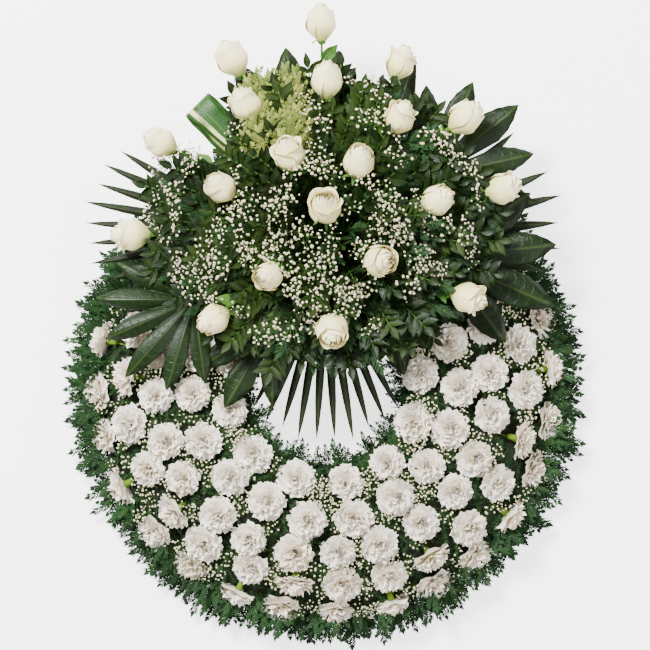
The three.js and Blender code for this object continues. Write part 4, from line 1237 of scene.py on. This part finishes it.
# %% A leafy branch
def leafy_branch(name, blade, pairs):
    parts = [moved(rod, rod_between(np.zeros(3), np.array([1.0, 0, 0]), 0.010))]
    for i in range(pairs):
        share = 0.22 + 0.74 * (i + 0.5) / pairs
        twist = chance.uniform(-0.5, 0.5)
        for hand in (-1, 1):
            way = np.array([0.75 * chance.uniform(0.8, 1.2), hand, chance.uniform(-0.1, 0.5)])
            size = 0.34 * (1.15 - 0.5 * share) * chance.uniform(0.85, 1.15)
            spot = np.array([share, 0, 0])
            parts.append(moved(blade, lay(spot, way, np.array([-0.3, -twist * hand, 1.0]), size)))
    parts.append(moved(blade, lay(np.array([0.97, 0, 0]), np.array([1.0, 0, 0.2]), UP, 0.22)))
    return as_one(name, parts)


branches = [leafy_branch("branch_dark", dark_leaf, 6), leafy_branch("branch_fresh", spray_leaf, 7)]
print("branch", len(branches[0].data.polygons), "faces")


def nearest(ends, x, y):
    return min(ends, key=lambda key: math.hypot(ends[key][0] - x, ends[key][1] - y))


BRANCH_ENDS = {"left": (-250, 322, 142), "top": (48, 420, 178),
               "west": (-104, 290, 202), "east": (108, 240, 204)}
filling = {key: [(branches[0], [], []), (branches[1], [], []), (tips[0], [], []), (tips[1], [], [])]
           for key in BRANCH_ENDS}
FILLING = 330  # copies tried
for i in range(FILLING):
    turn, far = GOLDEN_ANGLE * i, math.sqrt((i + 0.5) / FILLING)
    x, y = 232 * far * math.cos(turn), 262 + 190 * far * math.sin(turn)
    if y > 330:
        x *= 0.82
    under_strap = -262 < x < -128 and 338 < y < 452
    if under_strap:
        continue
    spot = at_ring(x, y, dome(x, y) - chance.uniform(34, 74))
    away = unit(spot - HEART + 0.02 * np.array([chance.uniform(-1, 1), chance.uniform(-1, 1), 0.4]))
    away[2] *= 0.55
    tip = spot + unit(away) * 0.055
    if min(np.linalg.norm((tip - place)[:2]) for place, _ in ROSE_PLACES) < 0.036:
        spot = spot - UP * 0.014
    key = nearest(BRANCH_ENDS, x, y)
    kind = (0, 1, 0, 2, 1, 3)[i % 6]
    size = chance.uniform(0.075, 0.125) * (0.85 if kind > 1 else 1)
    bed = filling[key][kind]
    bed[1].append(lay(spot - unit(away) * size * 0.45, away, UP, size))
    bed[2].append(chance.random())

# %% [markdown]
# Seen from the side, the block of foam would show under the dome. Short sprigs pushed into
# its sides hang down over the tray and hide it.

# %% Sprigs round the foam
SPRIGS = 44
for i in range(SPRIGS):
    turn = math.tau * (i + chance.uniform(-0.4, 0.4)) / SPRIGS
    out = np.array([math.cos(turn), math.sin(turn), 0.0])
    spot = HEART + out * foam_face(out) * 0.92 + UP * chance.uniform(-0.045, 0.03)
    x, y = 1000 * (spot - CENTRE)[:2]
    key = nearest(BRANCH_ENDS, x, y)
    bed = filling[key][i % 2]
    bed[1].append(lay(spot, out + UP * chance.uniform(-0.8, -0.05), UP + out, chance.uniform(0.08, 0.115)))
    bed[2].append(chance.random())

# %% [markdown]
# Near the top left a bunch of yellow-green plumes stands between the roses. A plume is an
# evergreen tip with finer needles, in a finish of its own.

# %% Golden plumes
golden = feather_tip("golden_tip", 13, 34, 5, 0.034)
golden.data.materials.clear()
golden.data.materials.append(GOLDEN)
golden.data.polygons.foreach_set("material_index", np.zeros(len(golden.data.polygons), np.int32))
plumes = []
for i in range(34):
    x, y = -82 + chance.uniform(-40, 40), 380 + 3.2 * i
    spot = at_ring(x, y, dome(x, y) - 9 + chance.uniform(-8, 6))
    way = unit(spot - HEART) * np.array([1, 1, 0.3]) + np.array([chance.uniform(-0.3, 0.3), 0.35, 0])
    plumes.append(lay(spot - unit(way) * 0.05, way, UP, 0.066))
planted("golden_plumes", [(golden, plumes, [chance.random() for _ in plumes])])
put_away(golden)

# %% Plant the branches
for key, beds in filling.items():
    stem = (rod, [stem_from_foam(at_ring(*BRANCH_ENDS[key]), 0.0020)], [0.5])
    planted("leafy_branches_" + key, beds + [stem], ["branch_" + key])

# %% [markdown]
# Baby's breath lies over the head like a veil. Its clusters stand a little above the
# leaves, at the height of the roses, and keep off the open buds.

# %% The veil of florets
SPRAY_ENDS = {"top": (20, 350, 205), "left": (-140, 262, 188), "right": (140, 292, 188),
              "middle": (-30, 215, 220), "bottom": (-40, 140, 195)}
veil = {key: [(cluster, [], []) for cluster in clusters] for key in SPRAY_ENDS}
VEIL = 330  # clusters tried
for i in range(VEIL):
    turn, far = GOLDEN_ANGLE * i + 1.1, math.sqrt((i + 0.5) / VEIL)
    x = -15 + 236 * far * math.cos(turn) + chance.uniform(-12, 12)
    y = 290 + 185 * far * math.sin(turn) + chance.uniform(-12, 12)
    spot = at_ring(x, y, dome(x, y) - chance.uniform(22, 46))
    near = min(np.linalg.norm((spot + UP * 0.02 - place)[:2]) for place, _ in ROSE_PLACES)
    thin = math.sin(x * 0.033 + 1.3) * math.cos(y * 0.038) + 0.4 * math.sin(x * 0.09 + y * 0.07) < -0.05
    over_strap = -240 < x < -140 and 350 < y < 440
    over_plumes = -120 < x < -45 and y > 385
    if near < 0.034 or over_strap or over_plumes or thin and chance.random() < 0.85:
        continue
    key = nearest(SPRAY_ENDS, x, y)
    bed = veil[key][chance.randrange(4)]
    way = unit(spot - HEART + 0.03 * UP)
    bed[1].append(stand(spot, way, chance.uniform(0, 6), chance.uniform(0.8, 1.15)))
    bed[2].append(chance.random())
for key, beds in veil.items():
    stem = (rod, [stem_from_foam(at_ring(*SPRAY_ENDS[key]), 0.0012)], [0.5])
    planted("florets_" + key, beds + [stem], ["breath_" + key])
put_away(rod, rose_leaf, spray_leaf, dark_leaf, *branches, *tips, *clusters)

# %% [markdown]
# ## Foam and tray
# These two keep their own solids: a block with holes and a moulded dish are already the
# right shape, and they lie hidden. They only take a finish.

# %% Dress the kept solids
for node, finish in (("head_foam", FOAM), ("head_tray", TRAY)):
    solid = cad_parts[node]
    solid.data.materials.clear()
    solid.data.materials.append(finish)
    print(node, finish.name)

# %% [markdown]
# ## Stage
# A pale floor, a camera straight above with a long lens, a soft key light from the upper
# left, a fill from the right and an even sky, as in a catalogue picture on white. The
# floor shines a little by itself, so that it stays white behind the dark leaves.

# %% Floor, lights and camera
deselect()
bpy.ops.mesh.primitive_plane_add(size=40, location=(0, 0, -0.0008))
floor = bpy.context.active_object
floor.name = "floor"
floor_finish, floor_tree, floor_surface = new_material("pale_floor", 0.9, Emission_Color=(1, 1, 1, 1),
                                                        Emission_Strength=2.4)
speckle = mixed(floor_tree, mottle(floor_tree, 6, 0.3, 0.7), (0.90, 0.90, 0.89), (0.93, 0.93, 0.925))
floor_tree.links.new(speckle, floor_surface.inputs["Base Color"])
floor.data.materials.append(floor_finish)


def soft_light(name, location, size, power):
    light = bpy.data.lights.new(name, "AREA")
    light.energy = power
    light.size = size
    lamp = bpy.data.objects.new(name, light)
    lamp.location = location
    direction = np.array(location) - np.array([0, 0, 0.1])
    yaw = math.atan2(direction[1], direction[0])
    tilt = math.acos(direction[2] / np.linalg.norm(direction))
    lamp.rotation_euler = (0, tilt, yaw)
    bpy.context.collection.objects.link(lamp)


soft_light("key", (-1.5, 1.9, 3.2), 1.0, 520)
soft_light("fill", (2.2, -0.9, 2.6), 2.4, 90)
world = bpy.data.worlds.new("sky")
world.use_nodes = True
world.node_tree.nodes["Background"].inputs["Color"].default_value = (0.99, 0.99, 1.0, 1)
world.node_tree.nodes["Background"].inputs["Strength"].default_value = 0.62
bpy.context.scene.world = world

VIEW_WIDTH, CAMERA_HEIGHT = 1.04, 6.0
lens = bpy.data.cameras.new("long_lens")
lens.lens = (CAMERA_HEIGHT - 0.06) * 36 / VIEW_WIDTH
lens.clip_end = 100
camera = bpy.data.objects.new("camera", lens)
camera.location = (CENTRE[0] - 0.001, CENTRE[1] + 0.0995, CAMERA_HEIGHT)
bpy.context.collection.objects.link(camera)
bpy.context.scene.camera = camera
print("total", sum(COUNTS.values()), "triangles planted")

# %% Update the scene
bpy.context.view_layer.update()
